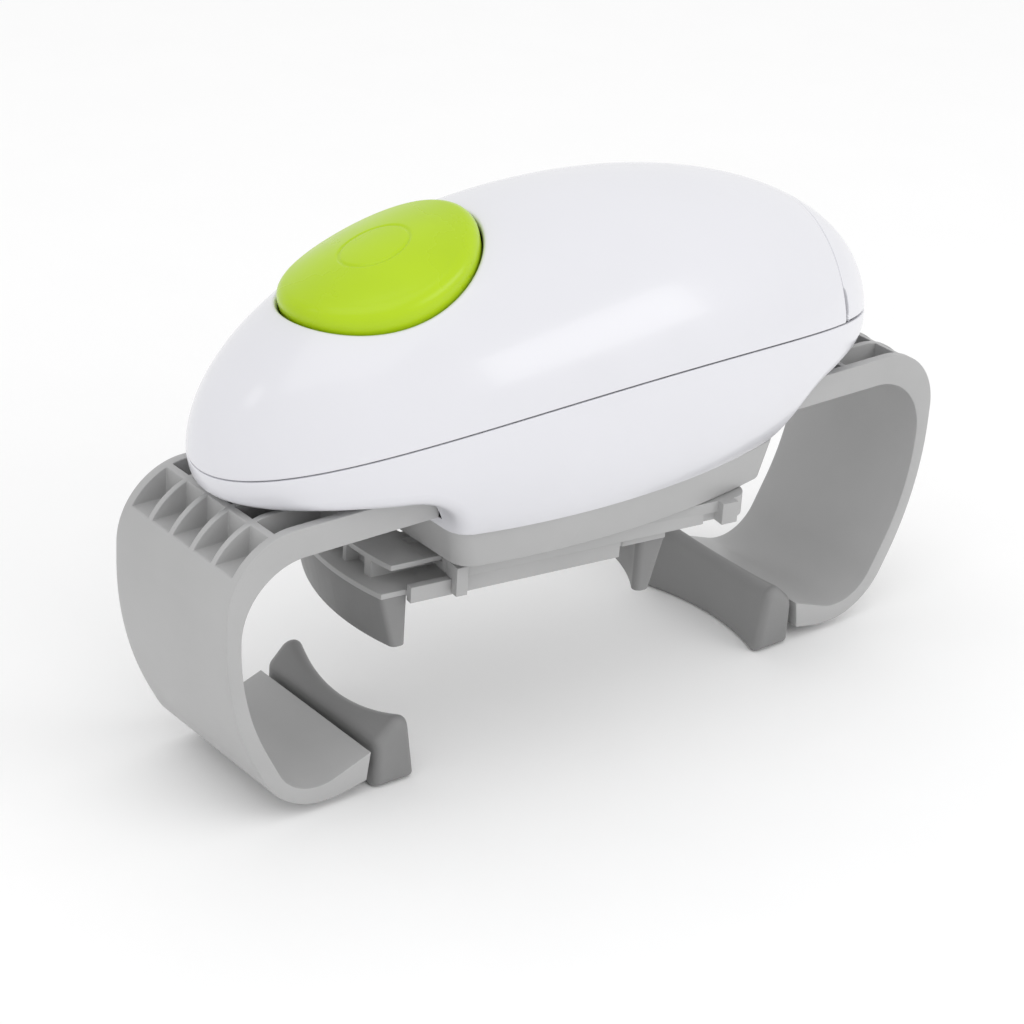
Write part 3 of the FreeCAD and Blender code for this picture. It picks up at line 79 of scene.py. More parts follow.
# ---------------------------------------------------------------- finishes
class Side(Enum):
    """The two mirrored ends of the opener."""

    LEFT = -1
    RIGHT = 1

    def tag(self, name: str) -> str:
        """A name with this end's word after it."""
        return f"{name}_{self.name.lower()}"


@dataclass(frozen=True)
class Plastic:
    """Moulded plastic: slow tone drift, fine grain, patches of handling gloss."""

    name: str
    colour: tuple[float, float, float]
    roughness: float = 0.4
    spread: float = 0.08
    grain: float = 900.0
    bump: float = 0.05
    drift: float = 0.04
    coat: float = 0.0
    specular: float = 0.5
    handling: float = 55.0
    drifting: float = 28.0
    coat_roughness: float = 0.08
    grain_depth: float = 0.04 * MM

    def build(self) -> bpy.types.Material:
        """Makes the node material.

        Returns:
            The finished material.
        """
        material = bpy.data.materials.new(self.name)
        material.use_nodes = True
        tree = material.node_tree
        shader = tree.nodes["Principled BSDF"]
        shader.inputs["Specular IOR Level"].default_value = self.specular
        shader.inputs["Coat Weight"].default_value = self.coat
        shader.inputs["Coat Roughness"].default_value = self.coat_roughness
        place = tree.nodes.new("ShaderNodeTexCoord").outputs["Object"]
        self._colour(tree, shader, place)
        self._roughness(tree, shader, place)
        self._grain(tree, shader, place)
        return material

    def _noise(self, tree: bpy.types.NodeTree, place: bpy.types.NodeSocket, scale: float,
               detail: float) -> bpy.types.NodeSocket:
        """Adds a noise texture.

        Args:
            tree: the material's node tree.
            place: the coordinates.
            scale: patches in each metre.
            detail: octaves of finer noise.

        Returns:
            The factor socket.
        """
        noise = tree.nodes.new("ShaderNodeTexNoise")
        noise.inputs["Scale"].default_value = scale
        noise.inputs["Detail"].default_value = detail
        tree.links.new(place, noise.inputs["Vector"])
        return noise.outputs["Fac"]

    def _colour(self, tree: bpy.types.NodeTree, shader: bpy.types.Node, place: bpy.types.NodeSocket) -> None:
        """Base colour that drifts a little over the part.

        Args:
            tree: the material's node tree.
            shader: the surface shader.
            place: the coordinates.
        """
        ramp = tree.nodes.new("ShaderNodeValToRGB")
        for element, end, share in zip(ramp.color_ramp.elements, NOISE_ENDS, (-self.drift, self.drift)):
            element.position = end
            element.color = (*(min(1.0, part * (1.0 + share)) for part in self.colour), 1.0)
        tree.links.new(self._noise(tree, place, self.drifting, 3.0), ramp.inputs["Fac"])
        tree.links.new(ramp.outputs["Color"], shader.inputs["Base Color"])

    def _roughness(self, tree: bpy.types.NodeTree, shader: bpy.types.Node,
                   place: bpy.types.NodeSocket) -> None:
        """Roughness with smoother, handled patches.

        Args:
            tree: the material's node tree.
            shader: the surface shader.
            place: the coordinates.
        """
        span = tree.nodes.new("ShaderNodeMapRange")
        span.inputs["From Min"].default_value, span.inputs["From Max"].default_value = NOISE_ENDS
        span.inputs["To Min"].default_value = max(0.02, self.roughness - self.spread)
        span.inputs["To Max"].default_value = self.roughness + self.spread
        tree.links.new(self._noise(tree, place, self.handling, 6.0), span.inputs["Value"])
        tree.links.new(span.outputs["Result"], shader.inputs["Roughness"])

    def _grain(self, tree: bpy.types.NodeTree, shader: bpy.types.Node, place: bpy.types.NodeSocket) -> None:
        """Fine moulded grain as bump.

        Args:
            tree: the material's node tree.
            shader: the surface shader.
            place: the coordinates.
        """
        bump = tree.nodes.new("ShaderNodeBump")
        bump.inputs["Strength"].default_value = self.bump
        bump.inputs["Distance"].default_value = self.grain_depth
        tree.links.new(self._noise(tree, place, self.grain, 4.0), bump.inputs["Height"])
        tree.links.new(bump.outputs["Normal"], shader.inputs["Normal"])


@dataclass(frozen=True)
class Metal(Plastic):
    """Drawn or turned metal: fine lengthwise streaks over the same base."""

    streak: tuple[float, float, float] = (1.0, 1.0, 12.0)

    def build(self) -> bpy.types.Material:
        """Makes the node material.

        Returns:
            The finished material.
        """
        material = super().build()
        tree = material.node_tree
        shader = tree.nodes["Principled BSDF"]
        shader.inputs["Metallic"].default_value = 1.0
        mapping = tree.nodes.new("ShaderNodeMapping")
        mapping.inputs["Scale"].default_value = self.streak
        tree.links.new(tree.nodes["Texture Coordinate"].outputs["Object"], mapping.inputs["Vector"])
        bump = next(node for node in tree.nodes if node.type == "BUMP")
        streaks = self._noise(tree, mapping.outputs["Vector"], self.grain / 3.0, 6.0)
        tree.links.new(streaks, bump.inputs["Height"])
        return material


@dataclass(frozen=True)
class Finishes:
    """Every finish of the opener."""

    shell: Plastic = Plastic("shell_white", (0.725, 0.725, 0.762), 0.22, 0.04, 1400.0, 0.02, 0.010, 0.25)
    button: Plastic = Plastic("button_green", (0.42, 0.61, 0.001), 0.28, 0.05, 1200.0, 0.03, 0.05, 0.12, 0.35)
    grey: Plastic = Plastic("grey_plastic", (0.42, 0.42, 0.42), 0.42, 0.07, 1000.0, 0.10, 0.05)
    rubber: Plastic = Plastic("grip_rubber", (0.225, 0.225, 0.225), 0.50, 0.08, 700.0, 0.25, 0.10)
    gear: Plastic = Plastic("gear_plastic", (0.72, 0.69, 0.60), 0.38, 0.06, 900.0, 0.08, 0.05)
    inner: Plastic = Plastic("inner_plastic", (0.05, 0.05, 0.055), 0.5, 0.08, 900.0, 0.12, 0.10)
    board: Plastic = Plastic("circuit_board", (0.02, 0.14, 0.05), 0.35, 0.08, 1500.0, 0.10, 0.15)
    cell: Plastic = Plastic("cell_jacket", (0.03, 0.03, 0.035), 0.3, 0.08, 1100.0, 0.05, 0.10, 0.2)
    steel: Metal = Metal("steel", (0.60, 0.60, 0.62), 0.32, 0.08, 900.0, 0.15, 0.05)
    bronze: Metal = Metal("bronze", (0.58, 0.40, 0.20), 0.35, 0.08, 900.0, 0.15, 0.08)


SLOT_FINISH = {
    "white_shell": "shell", "green_button": "button", "grey_plastic": "grey", "grip_rubber": "rubber",
    "gear_plastic": "gear", "inner_plastic": "inner", "steel": "steel", "bronze": "bronze",
    "circuit": "board", "cell_jacket": "cell",
}


class Wardrobe:
    """Builds each finish once and hands it out by the record's material slot."""

    def __init__(self, finishes: Finishes) -> None:
        """Makes every material.

        Args:
            finishes: the set of finishes.
        """
        self._made = {slot: getattr(finishes, name).build() for slot, name in SLOT_FINISH.items()}

    def dress(self, piece: bpy.types.Object, slot: str) -> None:
        """Gives a piece its finish.

        Args:
            piece: the mesh object.
            slot: the material slot of the record.
        """
        piece.data.materials.clear()
        piece.data.materials.append(self._made[slot])

    def fit(self, piece: bpy.types.Object, slot: str, body: str, node: str | None = None) -> bpy.types.Object:
        """Dresses a piece, seats it on its body and puts it in the place of its solid.

        Args:
            piece: the mesh object.
            slot: the material slot of the record.
            body: the body that it moves with.
            node: the solid that it stands for, if there is one.

        Returns:
            The piece.
        """
        self.dress(piece, slot)
        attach(piece, body)
        if node:
            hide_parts(node)
        return piece

    def dress_nodes(self) -> None:
        """Gives every carried-over CAD node its finish."""
        for part in frame["record"]["subparts"]:
            node = frame["nodes"][part["node"]]
            finish = self._made[part["material_slot"]]
            if not node.material_slots:
                node.data.materials.append(finish)
            for material_slot in node.material_slots:
                material_slot.material = finish


# ---------------------------------------------------------------- mesh helpers
def link_mesh(name: str, work: bmesh.types.BMesh) -> bpy.types.Object:
    """Turns a finished bmesh into an object of the scene, and frees it.

    Args:
        name: the object's name.
        work: the bmesh.

    Returns:
        The linked object.
    """
    data = bpy.data.meshes.new(name)
    work.to_mesh(data)
    work.free()
    piece = bpy.data.objects.new(name, data)
    bpy.context.scene.collection.objects.link(piece)
    return piece


def shade_smooth(work: bmesh.types.BMesh) -> None:
    """Shades every face of a bmesh smooth."""
    for face in work.faces:
        face.smooth = True


def add_box(work: bmesh.types.BMesh, low: tuple, high: tuple) -> None:
    """Adds a block between two corners.

    Args:
        work: the bmesh.
        low: the corner with the lowest coordinates.
        high: the opposite corner.
    """
    size = Vector(high) - Vector(low)
    middle = 0.5 * (Vector(high) + Vector(low))
    bmesh.ops.create_cube(work, size=1.0, matrix=Matrix.Translation(middle) @ Matrix.Diagonal((*size, 1.0)))


def corner_arc(before: np.ndarray, corner: np.ndarray, after: np.ndarray, radius: float,
               shares: np.ndarray) -> tuple[np.ndarray, np.ndarray]:
    """Points of the arc that rounds a corner between two straight lines.

    Args:
        before: a point on the line that comes in.
        corner: where the lines meet.
        after: a point on the line that leaves.
        radius: the arc's radius.
        shares: places along the arc, from 0 at its start to 1 at its end.

    Returns:
        The arc's start and its points.
    """
    back, on = unit(before - corner), unit(after - corner)
    half = 0.5 * math.acos(float(np.clip(back @ on, -1.0, 1.0)))
    reach = radius / math.tan(half)
    centre = corner + unit(back + on) * radius / math.sin(half)
    first, last = corner + back * reach - centre, corner + on * reach - centre
    sweep = math.pi - 2.0 * half
    share = np.asarray(shares)[:, None]
    arm = (np.sin((1.0 - share) * sweep) * first + np.sin(share * sweep) * last) / math.sin(sweep)
    return centre + first, centre + arm


def new_piece(name: str, vertices: np.ndarray, faces: list[tuple[int, ...]]) -> bpy.types.Object:
    """Makes a smooth-shaded mesh object with its normals outward.

    Args:
        name: the object's name.
        vertices: N by 3 points.
        faces: vertex numbers of each face.

    Returns:
        The linked object.
    """
    draft = bpy.data.meshes.new("draft")
    draft.from_pydata([tuple(point) for point in vertices], [], faces)
    work = bmesh.new()
    work.from_mesh(draft)
    bpy.data.meshes.remove(draft)
    bmesh.ops.remove_doubles(work, verts=work.verts, dist=1.0e-7)
    bmesh.ops.recalc_face_normals(work, faces=work.faces)
    shade_smooth(work)
    return link_mesh(name, work)


def sharpen(piece: bpy.types.Object, degrees: float) -> None:
    """Marks the edges that turn by more than an angle as sharp.

    Args:
        piece: the mesh object.
        degrees: the angle.
    """
    work = bmesh.new()
    work.from_mesh(piece.data)
    for edge in work.edges:
        edge.smooth = len(edge.link_faces) == 2 and edge.calc_face_angle(0.0) < math.radians(degrees)
    work.to_mesh(piece.data)
    work.free()


def soften(piece: bpy.types.Object, width: float, degrees: float = 35.0) -> None:
    """Rounds the hard edges of a piece with a bevel, and applies it.

    Args:
        piece: the mesh object.
        width: the bevel's width.
        degrees: edges that turn by more than this are rounded.
    """
    bevel = piece.modifiers.new("edges", "BEVEL")
    bevel.width = width
    bevel.segments = 3
    bevel.limit_method = "ANGLE"
    bevel.angle_limit = math.radians(degrees)
    bevel.harden_normals = False
    bevel.use_clamp_overlap = True
    apply_modifiers(piece)
    sharpen(piece, degrees)


def apply_modifiers(piece: bpy.types.Object) -> None:
    """Replaces a piece's mesh by its evaluated mesh.

    Args:
        piece: the mesh object.
    """
    depsgraph = bpy.context.evaluated_depsgraph_get()
    mesh = bpy.data.meshes.new_from_object(piece.evaluated_get(depsgraph))
    piece.modifiers.clear()
    piece.data = mesh


def cut_boxes(piece: bpy.types.Object, boxes: list[tuple[tuple, tuple]]) -> None:
    """Cuts axis-aligned openings into a closed piece.

    Args:
        piece: the mesh object.
        boxes: the low and the high corner of each opening.
    """
    work = bmesh.new()
    for low, high in boxes:
        add_box(work, low, high)
    tool = link_mesh("opening", work)
    data = tool.data
    cut = piece.modifiers.new("openings", "BOOLEAN")
    cut.operation = "DIFFERENCE"
    cut.solver = "EXACT"
    cut.object = tool
    bpy.context.view_layer.update()
    apply_modifiers(piece)
    bpy.data.objects.remove(tool)
    bpy.data.meshes.remove(data)


@dataclass
class Rings:
    """A surface made of rings of points that are joined one to the next."""

    rings: list[np.ndarray] = field(default_factory=list)

    def add(self, *rings: np.ndarray) -> None:
        """Adds rings with the same number of points.

        Args:
            rings: arrays of N by 3 points.
        """
        self.rings.extend(rings)

    def faces(self, around: bool, caps: bool) -> list[tuple[int, ...]]:
        """Joins the rings.

        Args:
            around: joins the last ring back to the first one.
            caps: closes the first and last ring with one face each.

        Returns:
            The faces.
        """
        count = len(self.rings[0])
        total = len(self.rings)
        found = []
        for row in range(total if around else total - 1):
            here = row * count
            there = ((row + 1) % total) * count
            for column in range(count):
                after = (column + 1) % count
                found.append((here + column, here + after, there + after, there + column))
        if caps:
            found.append(tuple(range(count)))
            found.append(tuple(range((total - 1) * count, total * count)))
        return found

    def piece(self, name: str, around: bool = False, caps: bool = False) -> bpy.types.Object:
        """Makes the mesh object.

        Args:
            name: the object's name.
            around: joins the last ring back to the first one.
            caps: closes both ends.

        Returns:
            The object.
        """
        return new_piece(name, np.vstack(self.rings), self.faces(around, caps))


def unit(vectors: np.ndarray) -> np.ndarray:
    """Scales vectors to length one.

    Args:
        vectors: N by 3 vectors.

    Returns:
        N by 3 unit vectors.
    """
    return vectors / np.maximum(np.linalg.norm(vectors, axis=-1, keepdims=True), 1.0e-12)


def ease(count: int, power: float) -> np.ndarray:
    """Numbers from 0 to 1 that crowd towards both ends.

    Args:
        count: how many.
        power: 0 for even steps, 1 for a full cosine.

    Returns:
        The numbers.
    """
    even = np.linspace(0.0, 1.0, count)
    return (1.0 - power) * even + power * 0.5 * (1.0 - np.cos(math.pi * even))


# ---------------------------------------------------------------- the housing's form
@dataclass(frozen=True)
class Egg:
    """Two half ellipsoids that share a waist."""

    centre_x: float = -3.4 * MM
    waist_z: float = 85.2 * MM
    half_length: float = 99.2 * MM
    half_width: float = 41.5 * MM
    crown: float = 48.5 * MM
    belly: float = 36.0 * MM

    @property
    def centre(self) -> np.ndarray:
        """Middle of the egg, at its waist."""
        return np.array([self.centre_x, 0.0, self.waist_z])

    def _stretch(self, z: np.ndarray, inset: float) -> np.ndarray:
        """Half axes for points above or below the waist.

        Args:
            z: heights above the waist.
            inset: distance inside the outer face.

        Returns:
            N by 3 half axes.
        """
        rise = np.where(z > 0.0, self.crown, self.belly)
        length = np.full_like(rise, self.half_length)
        width = np.full_like(rise, self.half_width)
        return np.stack([length, width, rise], axis=-1) - inset

    def point(self, directions: np.ndarray, inset: float = 0.0) -> np.ndarray:
        """Surface points for directions in the unit ball's space.

        Args:
            directions: N by 3 unit vectors.
            inset: distance inside the outer face.

        Returns:
            N by 3 points.
        """
        return self.centre + directions * self._stretch(directions[..., 2], inset)

    def at(self, turns: np.ndarray, tilt: np.ndarray) -> np.ndarray:
        """Points of the outer face.

        Args:
            turns: angles round the upright axis, 0 at +X.
            tilt: angles up from the waist.

        Returns:
            N by 3 points.
        """
        level = np.cos(tilt)
        return self.point(np.stack([level * np.cos(turns), level * np.sin(turns), np.sin(tilt)], -1))

    def direction(self, points: np.ndarray) -> np.ndarray:
        """Inverse of point, for points on or near the outer face.

        Args:
            points: N by 3 points.

        Returns:
            N by 3 unit vectors.
        """
        offset = points - self.centre
        return unit(offset / self._stretch(offset[..., 2], 0.0))

    def normal(self, points: np.ndarray) -> np.ndarray:
        """Outward unit normals.

        Args:
            points: N by 3 points near the surface.

        Returns:
            N by 3 unit vectors.
        """
        offset = points - self.centre
        return unit(offset / self._stretch(offset[..., 2], 0.0) ** 2)

    def settle(self, points: np.ndarray) -> np.ndarray:
        """Moves N by 3 points onto the outer face."""
        return self.point(self.direction(points))


@dataclass(frozen=True)
class Seam:
    """The arched parting line between the shells."""

    top_z: float = 98.7 * MM
    radius: float = 364.0 * MM
    gap: float = 0.34 * MM

    def height(self, x: np.ndarray) -> np.ndarray:
        """Height of the parting line.

        Args:
            x: places along the housing.

        Returns:
            Heights.
        """
        return self.top_z - self.radius + np.sqrt(self.radius ** 2 - x ** 2)

    def contour(self, egg: Egg, turns: np.ndarray, drop: float = 0.0) -> np.ndarray:
        """Points where the parting surface meets the egg.

        Args:
            egg: the housing's form.
            turns: angles round the egg, 0 at +X.
            drop: distance below the parting surface.

        Returns:
            N by 3 points.
        """
        tilt = np.zeros_like(turns)
        for _ in range(12):
            x = egg.centre_x + egg.half_length * np.cos(tilt) * np.cos(turns)
            rise = self.height(x) - drop - egg.waist_z
            tilt = np.arcsin(np.clip(rise / np.where(rise > 0.0, egg.crown, egg.belly), -1.0, 1.0))
        return egg.at(turns, tilt)


def polar(directions: np.ndarray, axis: np.ndarray) -> tuple[np.ndarray, np.ndarray, np.ndarray]:
    """Angles of directions about an axis.

    Args:
        directions: N by 3 unit vectors.
        axis: the unit axis.

    Returns:
        The turn, the opening angle and the 3 by 3 basis.
    """
    side = unit(np.cross(axis, np.array([0.0, 1.0, 0.0])))
    basis = np.stack([side, np.cross(axis, side), axis])
    local = directions @ basis.T
    return np.arctan2(local[:, 1], local[:, 0]), np.arccos(np.clip(local[:, 2], -1, 1)), basis


def closed_table(turn: np.ndarray, value: np.ndarray, ask: np.ndarray) -> np.ndarray:
    """Reads a closed contour's value at given turns.

    Args:
        turn: turns of the contour's points.
        value: values there.
        ask: turns to read.

    Returns:
        The values at ask.
    """
    order = np.argsort(turn)
    return np.interp(ask, turn[order], value[order], period=2.0 * math.pi)


def spread_rows(egg: Egg, inner: np.ndarray | None, outer: np.ndarray, axis: np.ndarray,
                columns: int, rows: np.ndarray) -> list[np.ndarray]:
    """Directions of a grid between two contours that both go once round an axis.

    Args:
        egg: the housing's form.
        inner: points of the inner contour, or None for a full disc.
        outer: points of the outer contour.
        axis: unit direction inside the inner contour.
        columns: points in each ring.
        rows: numbers from 0 at the inner to 1 at the outer contour.

    Returns:
        One array of directions for each row.
    """
    dense = np.linspace(-math.pi, math.pi, DENSE_TURNS + 1)[:-1]
    outer_turn, outer_open, basis = polar(egg.direction(outer), axis)
    reach = closed_table(outer_turn, outer_open, dense)
    measure = _perimeter(egg, dense, reach, basis)
    if inner is None:
        start = 0.02 * reach
    else:
        inner_turn, inner_open, _ = polar(egg.direction(inner), axis)
        start = closed_table(inner_turn, inner_open, dense)
        measure = 0.5 * measure + 0.5 * _perimeter(egg, dense, start, basis)
    turns = np.interp(np.arange(columns) / columns, measure, np.append(dense, math.pi))
    near = np.interp(turns, dense, start, period=2.0 * math.pi)
    far = np.interp(turns, dense, reach, period=2.0 * math.pi)
    return [_from_polar(turns, near + (far - near) * row, basis) for row in rows]


def _from_polar(turns: np.ndarray, opening: np.ndarray, basis: np.ndarray) -> np.ndarray:
    """Directions from their angles about the basis's last axis."""
    local = np.stack([np.sin(opening) * np.cos(turns), np.sin(opening) * np.sin(turns), np.cos(opening)], -1)
    return local @ basis


def _perimeter(egg: Egg, turns: np.ndarray, opening: np.ndarray, basis: np.ndarray) -> np.ndarray:
    """Share of a contour's length up to each turn, with the full length as a last entry.

    Args:
        egg: the housing's form.
        turns: turns of the contour's points.
        opening: their angles from the axis.
        basis: the axis's own frame.

    Returns:
        One number more than there are turns.
    """
    points = egg.point(_from_polar(turns, opening, basis))
    steps = np.linalg.norm(np.roll(points, -1, axis=0) - points, axis=1)
    total = np.append(0.0, np.cumsum(steps))
    return total / total[-1]


def outward(ring: np.ndarray, before: np.ndarray, normals: np.ndarray) -> np.ndarray:
    """In-surface directions that leave a patch across its last ring.

    Args:
        ring: the last ring's points.
        before: the ring before it.
        normals: surface normals at the ring.

    Returns:
        N by 3 unit vectors.
    """
    along = unit(np.roll(ring, -1, axis=0) - np.roll(ring, 1, axis=0))
    across = unit(np.cross(along, normals))
    sign = np.sign(np.sum(across * (ring - before), axis=1, keepdims=True))
    return across * np.where(sign == 0.0, 1.0, sign)


def drawn_in(egg: Egg, contour: np.ndarray, middle: np.ndarray, distance: float) -> np.ndarray:
    """Moves a dense contour along the surface towards its middle.

    Args:
        egg: the housing's form.
        contour: the contour's points.
        middle: a point inside it.
        distance: how far it moves.

    Returns:
        The moved points.
    """
    return egg.settle(contour - distance * outward(contour, middle[None, :], egg.normal(contour)))


def rolled_edge(ring: np.ndarray, across: np.ndarray, normals: np.ndarray, radius: float,
                depth: float, steps: int = 4) -> list[np.ndarray]:
    """Rings of a rounded edge that turns down and of the wall under it.

    Args:
        ring: points where the surface ends and the rounding starts.
        across: in-surface directions that leave the patch.
        normals: surface normals.
        radius: the rounding's radius.
        depth: height of the wall below the rounding.
        steps: rings across the rounding.

    Returns:
        The rings after the given one.
    """
    found = []
    for step in range(1, steps + 1):
        turn = 0.5 * math.pi * step / steps
        found.append(ring + radius * math.sin(turn) * across - radius * (1.0 - math.cos(turn)) * normals)
    found.append(found[-1] - 0.3 * depth * normals)
    found.append(found[-2] - depth * normals)
    return found


@dataclass(frozen=True)
class ButtonPlace:
    """Where the push button sits on the crown, and its oval."""

    x: float = -56.0 * MM
    half_length: float = 25.2 * MM
    half_width: float = 20.0 * MM
    gap: float = 0.8 * MM
    proud: float = 2.9 * MM

    def axes(self, egg: Egg) -> tuple[np.ndarray, np.ndarray, np.ndarray, np.ndarray]:
        """The button's own frame.

        Args:
            egg: the housing's form.

        Returns:
            The seat point and the unit length, width and up directions.
        """
        share = (self.x - egg.centre_x) / egg.half_length
        slope = math.atan(-share * egg.crown / (egg.half_length * math.sqrt(1.0 - share * share)))
        seat = np.array([self.x, 0.0, egg.waist_z + egg.crown * math.sqrt(1.0 - share * share)])
        along = np.array([math.cos(slope), 0.0, math.sin(slope)])
        up = np.array([-math.sin(slope), 0.0, math.cos(slope)])
        return seat, along, np.array([0.0, 1.0, 0.0]), up

    def oval(self, egg: Egg, dome: Egg, grow: tuple[float, float], count: int) -> np.ndarray:
        """The button's outline, grown and laid on a dome.

        Args:
            egg: the housing's form.
            dome: the form that the oval lies on.
            grow: distances outside the outline along the two half axes.
            count: number of points.

        Returns:
            N by 3 points.
        """
        seat, along, wide, up = self.axes(egg)
        turn = 2.0 * math.pi * np.arange(count) / count
        base = (seat + np.outer((self.half_length + grow[0]) * np.cos(turn), along)
                + np.outer((self.half_width + grow[1]) * np.sin(turn), wide))
        size = np.array([dome.half_length, dome.half_width, dome.crown])
        offset = (base - dome.centre) / size
        ray = up / size
        a = ray @ ray
        b = offset @ ray
        c = np.sum(offset * offset, axis=1) - 1.0
        return base + np.outer((-b + np.sqrt(b * b - a * c)) / a, up)


@dataclass(frozen=True)
class DoorLine:
    """Parting line of the battery door, with its finger notches."""

    x: float = 70.5 * MM
    gap: float = 0.4 * MM
    notch_z: float = 95.5 * MM
    notch_half: float = 4.5 * MM
    notch_depth: float = 1.5 * MM

    def edge_x(self, z: np.ndarray, on_door: bool) -> np.ndarray:
        """Place of the edge along the housing.

        Args:
            z: heights.
            on_door: True for the door's edge, False for the shell's.

        Returns:
            Places along X.
        """
        if not on_door:
            return np.full_like(z, self.x)
        bite = np.clip(1.0 - ((z - self.notch_z) / self.notch_half) ** 2, 0.0, 1.0)
        return self.x + self.gap + self.notch_depth * np.sqrt(bite)

    def arc(self, egg: Egg, seam: Seam, on_door: bool, count: int = 600) -> np.ndarray:
        """The edge over the crown, from the seam on -Y to the seam on +Y.

        Args:
            egg: the housing's form.
            seam: the parting line below.
            on_door: True for the door's edge.
            count: number of points.

        Returns:
            N by 3 points.
        """
        share = (self.x - egg.centre_x) / egg.half_length
        rise = seam.height(np.array([self.x]))[0] - egg.waist_z
        low = math.asin(rise / (egg.crown * math.sqrt(1 - share ** 2)))
        turn = np.linspace(math.pi - low, low, count)
        x = np.full(count, self.x)
        for _ in range(4):
            size = np.sqrt(np.maximum(0.0, 1.0 - ((x - egg.centre_x) / egg.half_length) ** 2))
            z = egg.waist_z + egg.crown * size * np.sin(turn)
            x = self.edge_x(z, on_door)
        size = np.sqrt(np.maximum(0.0, 1.0 - ((x - egg.centre_x) / egg.half_length) ** 2))
        y = egg.half_width * size * np.cos(turn)
        z = egg.waist_z + egg.crown * size * np.sin(turn)
        return np.stack([x, y, z], -1)


# ---------------------------------------------------------------- white shells
@dataclass(frozen=True)
class HousingSizes:
    """Walls and roundings of the moulded shells."""

    wall: float = 2.4 * MM
    edge: float = 0.28 * MM
    opening_edge: float = 0.7 * MM
    columns: int = 480
    rows: int = 72
    door_columns: int = 320
    door_rows: int = 40
    door_middle: tuple[float, float] = (12.0 * MM, 22.0 * MM)
    side_rows: int = 36


class UpperShell:
    """White upper shell with the button opening and the cut for the door."""

    def __init__(self, egg: Egg, seam: Seam, button: ButtonPlace, door: DoorLine,
                 sizes: HousingSizes) -> None:
        """Keeps the forms that shape the shell.

        Args:
            egg: the housing's form.
            seam: the parting line.
            button: the button's place.
            door: the door's parting line.
            sizes: walls and roundings.
        """
        self.egg = egg
        self.seam = seam
        self.button = button
        self.door = door
        self.sizes = sizes

    def _outer_contour(self) -> np.ndarray:
        """Seam round the button end, closed by the door's edge.

        Returns:
            N by 3 points.
        """
        turns = np.linspace(0.0, 2.0 * math.pi, DENSE_TURNS + 1)[:-1]
        seam = self.seam.contour(self.egg, turns)
        seam = seam[seam[:, 0] < self.door.x]
        return np.vstack([seam, self.door.arc(self.egg, self.seam, False)])

    def build(self, wardrobe: Wardrobe) -> bpy.types.Object:
        """Makes, dresses and seats the shell.

        Args:
            wardrobe: the finishes.

        Returns:
            The shell.
        """
        egg, sizes = self.egg, self.sizes
        grow = self.button.gap + sizes.opening_edge
        opening = self.button.oval(egg, egg, (grow, grow), 1200)
        seat = self.button.axes(egg)[0]
        outer = drawn_in(egg, self._outer_contour(), seat, sizes.edge)
        axis = egg.direction(seat[None, :])[0]
        rows = spread_rows(egg, opening, outer, axis, sizes.columns, ease(sizes.rows, 0.6))
        skin = [egg.point(row) for row in rows]
        first_normal, last_normal = egg.normal(skin[0]), egg.normal(skin[-1])
        first_out = outward(skin[0], skin[1], first_normal)
        last_out = outward(skin[-1], skin[-2], last_normal)
        surface = Rings(skin)
        surface.add(*rolled_edge(skin[-1], last_out, last_normal, sizes.edge, sizes.wall - sizes.edge))
        surface.add(*[egg.point(row, sizes.wall) for row in reversed(rows[1:-1])])
        depth = sizes.wall - sizes.opening_edge
        surface.add(*reversed(rolled_edge(skin[0], first_out, first_normal, sizes.opening_edge, depth)))
        shell = surface.piece("upper_shell_skin", around=True)
        return wardrobe.fit(shell, "white_shell", "housing", "upper_shell")


class BatteryDoor:
    """End cap over the cells, a closed dish with a rolled rim."""

    def __init__(self, egg: Egg, seam: Seam, door: DoorLine, sizes: HousingSizes) -> None:
        """Keeps the forms that shape the door.

        Args:
            egg: the housing's form.
            seam: the parting line.
            door: the door's parting line.
            sizes: walls and roundings.
        """
        self.egg = egg
        self.seam = seam
        self.door = door
        self.sizes = sizes

    def build(self, wardrobe: Wardrobe) -> bpy.types.Object:
        """Makes, dresses and seats the door.

        Args:
            wardrobe: the finishes.

        Returns:
            The door.
        """
        egg, sizes = self.egg, self.sizes
        turns = np.linspace(-math.pi, math.pi, DENSE_TURNS + 1)[:-1]
        seam = self.seam.contour(egg, turns, -self.seam.gap)
        seam = seam[seam[:, 0] > self.door.x + self.door.gap]
        along, above = sizes.door_middle
        middle = egg.settle(np.array([[self.door.x + along, 0.0, egg.waist_z + above]]))[0]
        contour = drawn_in(egg, np.vstack([seam, self.door.arc(egg, self.seam, True)]), middle, sizes.edge)
        axis = egg.direction(middle[None, :])[0]
        rows = spread_rows(egg, None, contour, axis, sizes.door_columns, ease(sizes.door_rows, 0.5))
        skin = [egg.point(row) for row in rows]
        normals = egg.normal(skin[-1])
        across = outward(skin[-1], skin[-2], normals)
        surface = Rings(skin)
        surface.add(*rolled_edge(skin[-1], across, normals, sizes.edge, sizes.wall - sizes.edge))
        surface.add(*[egg.point(row, sizes.wall) for row in reversed(rows[:-1])])
        door = surface.piece("battery_door_cap", caps=True)
        return wardrobe.fit(door, "white_shell", "battery_door", "battery_door")


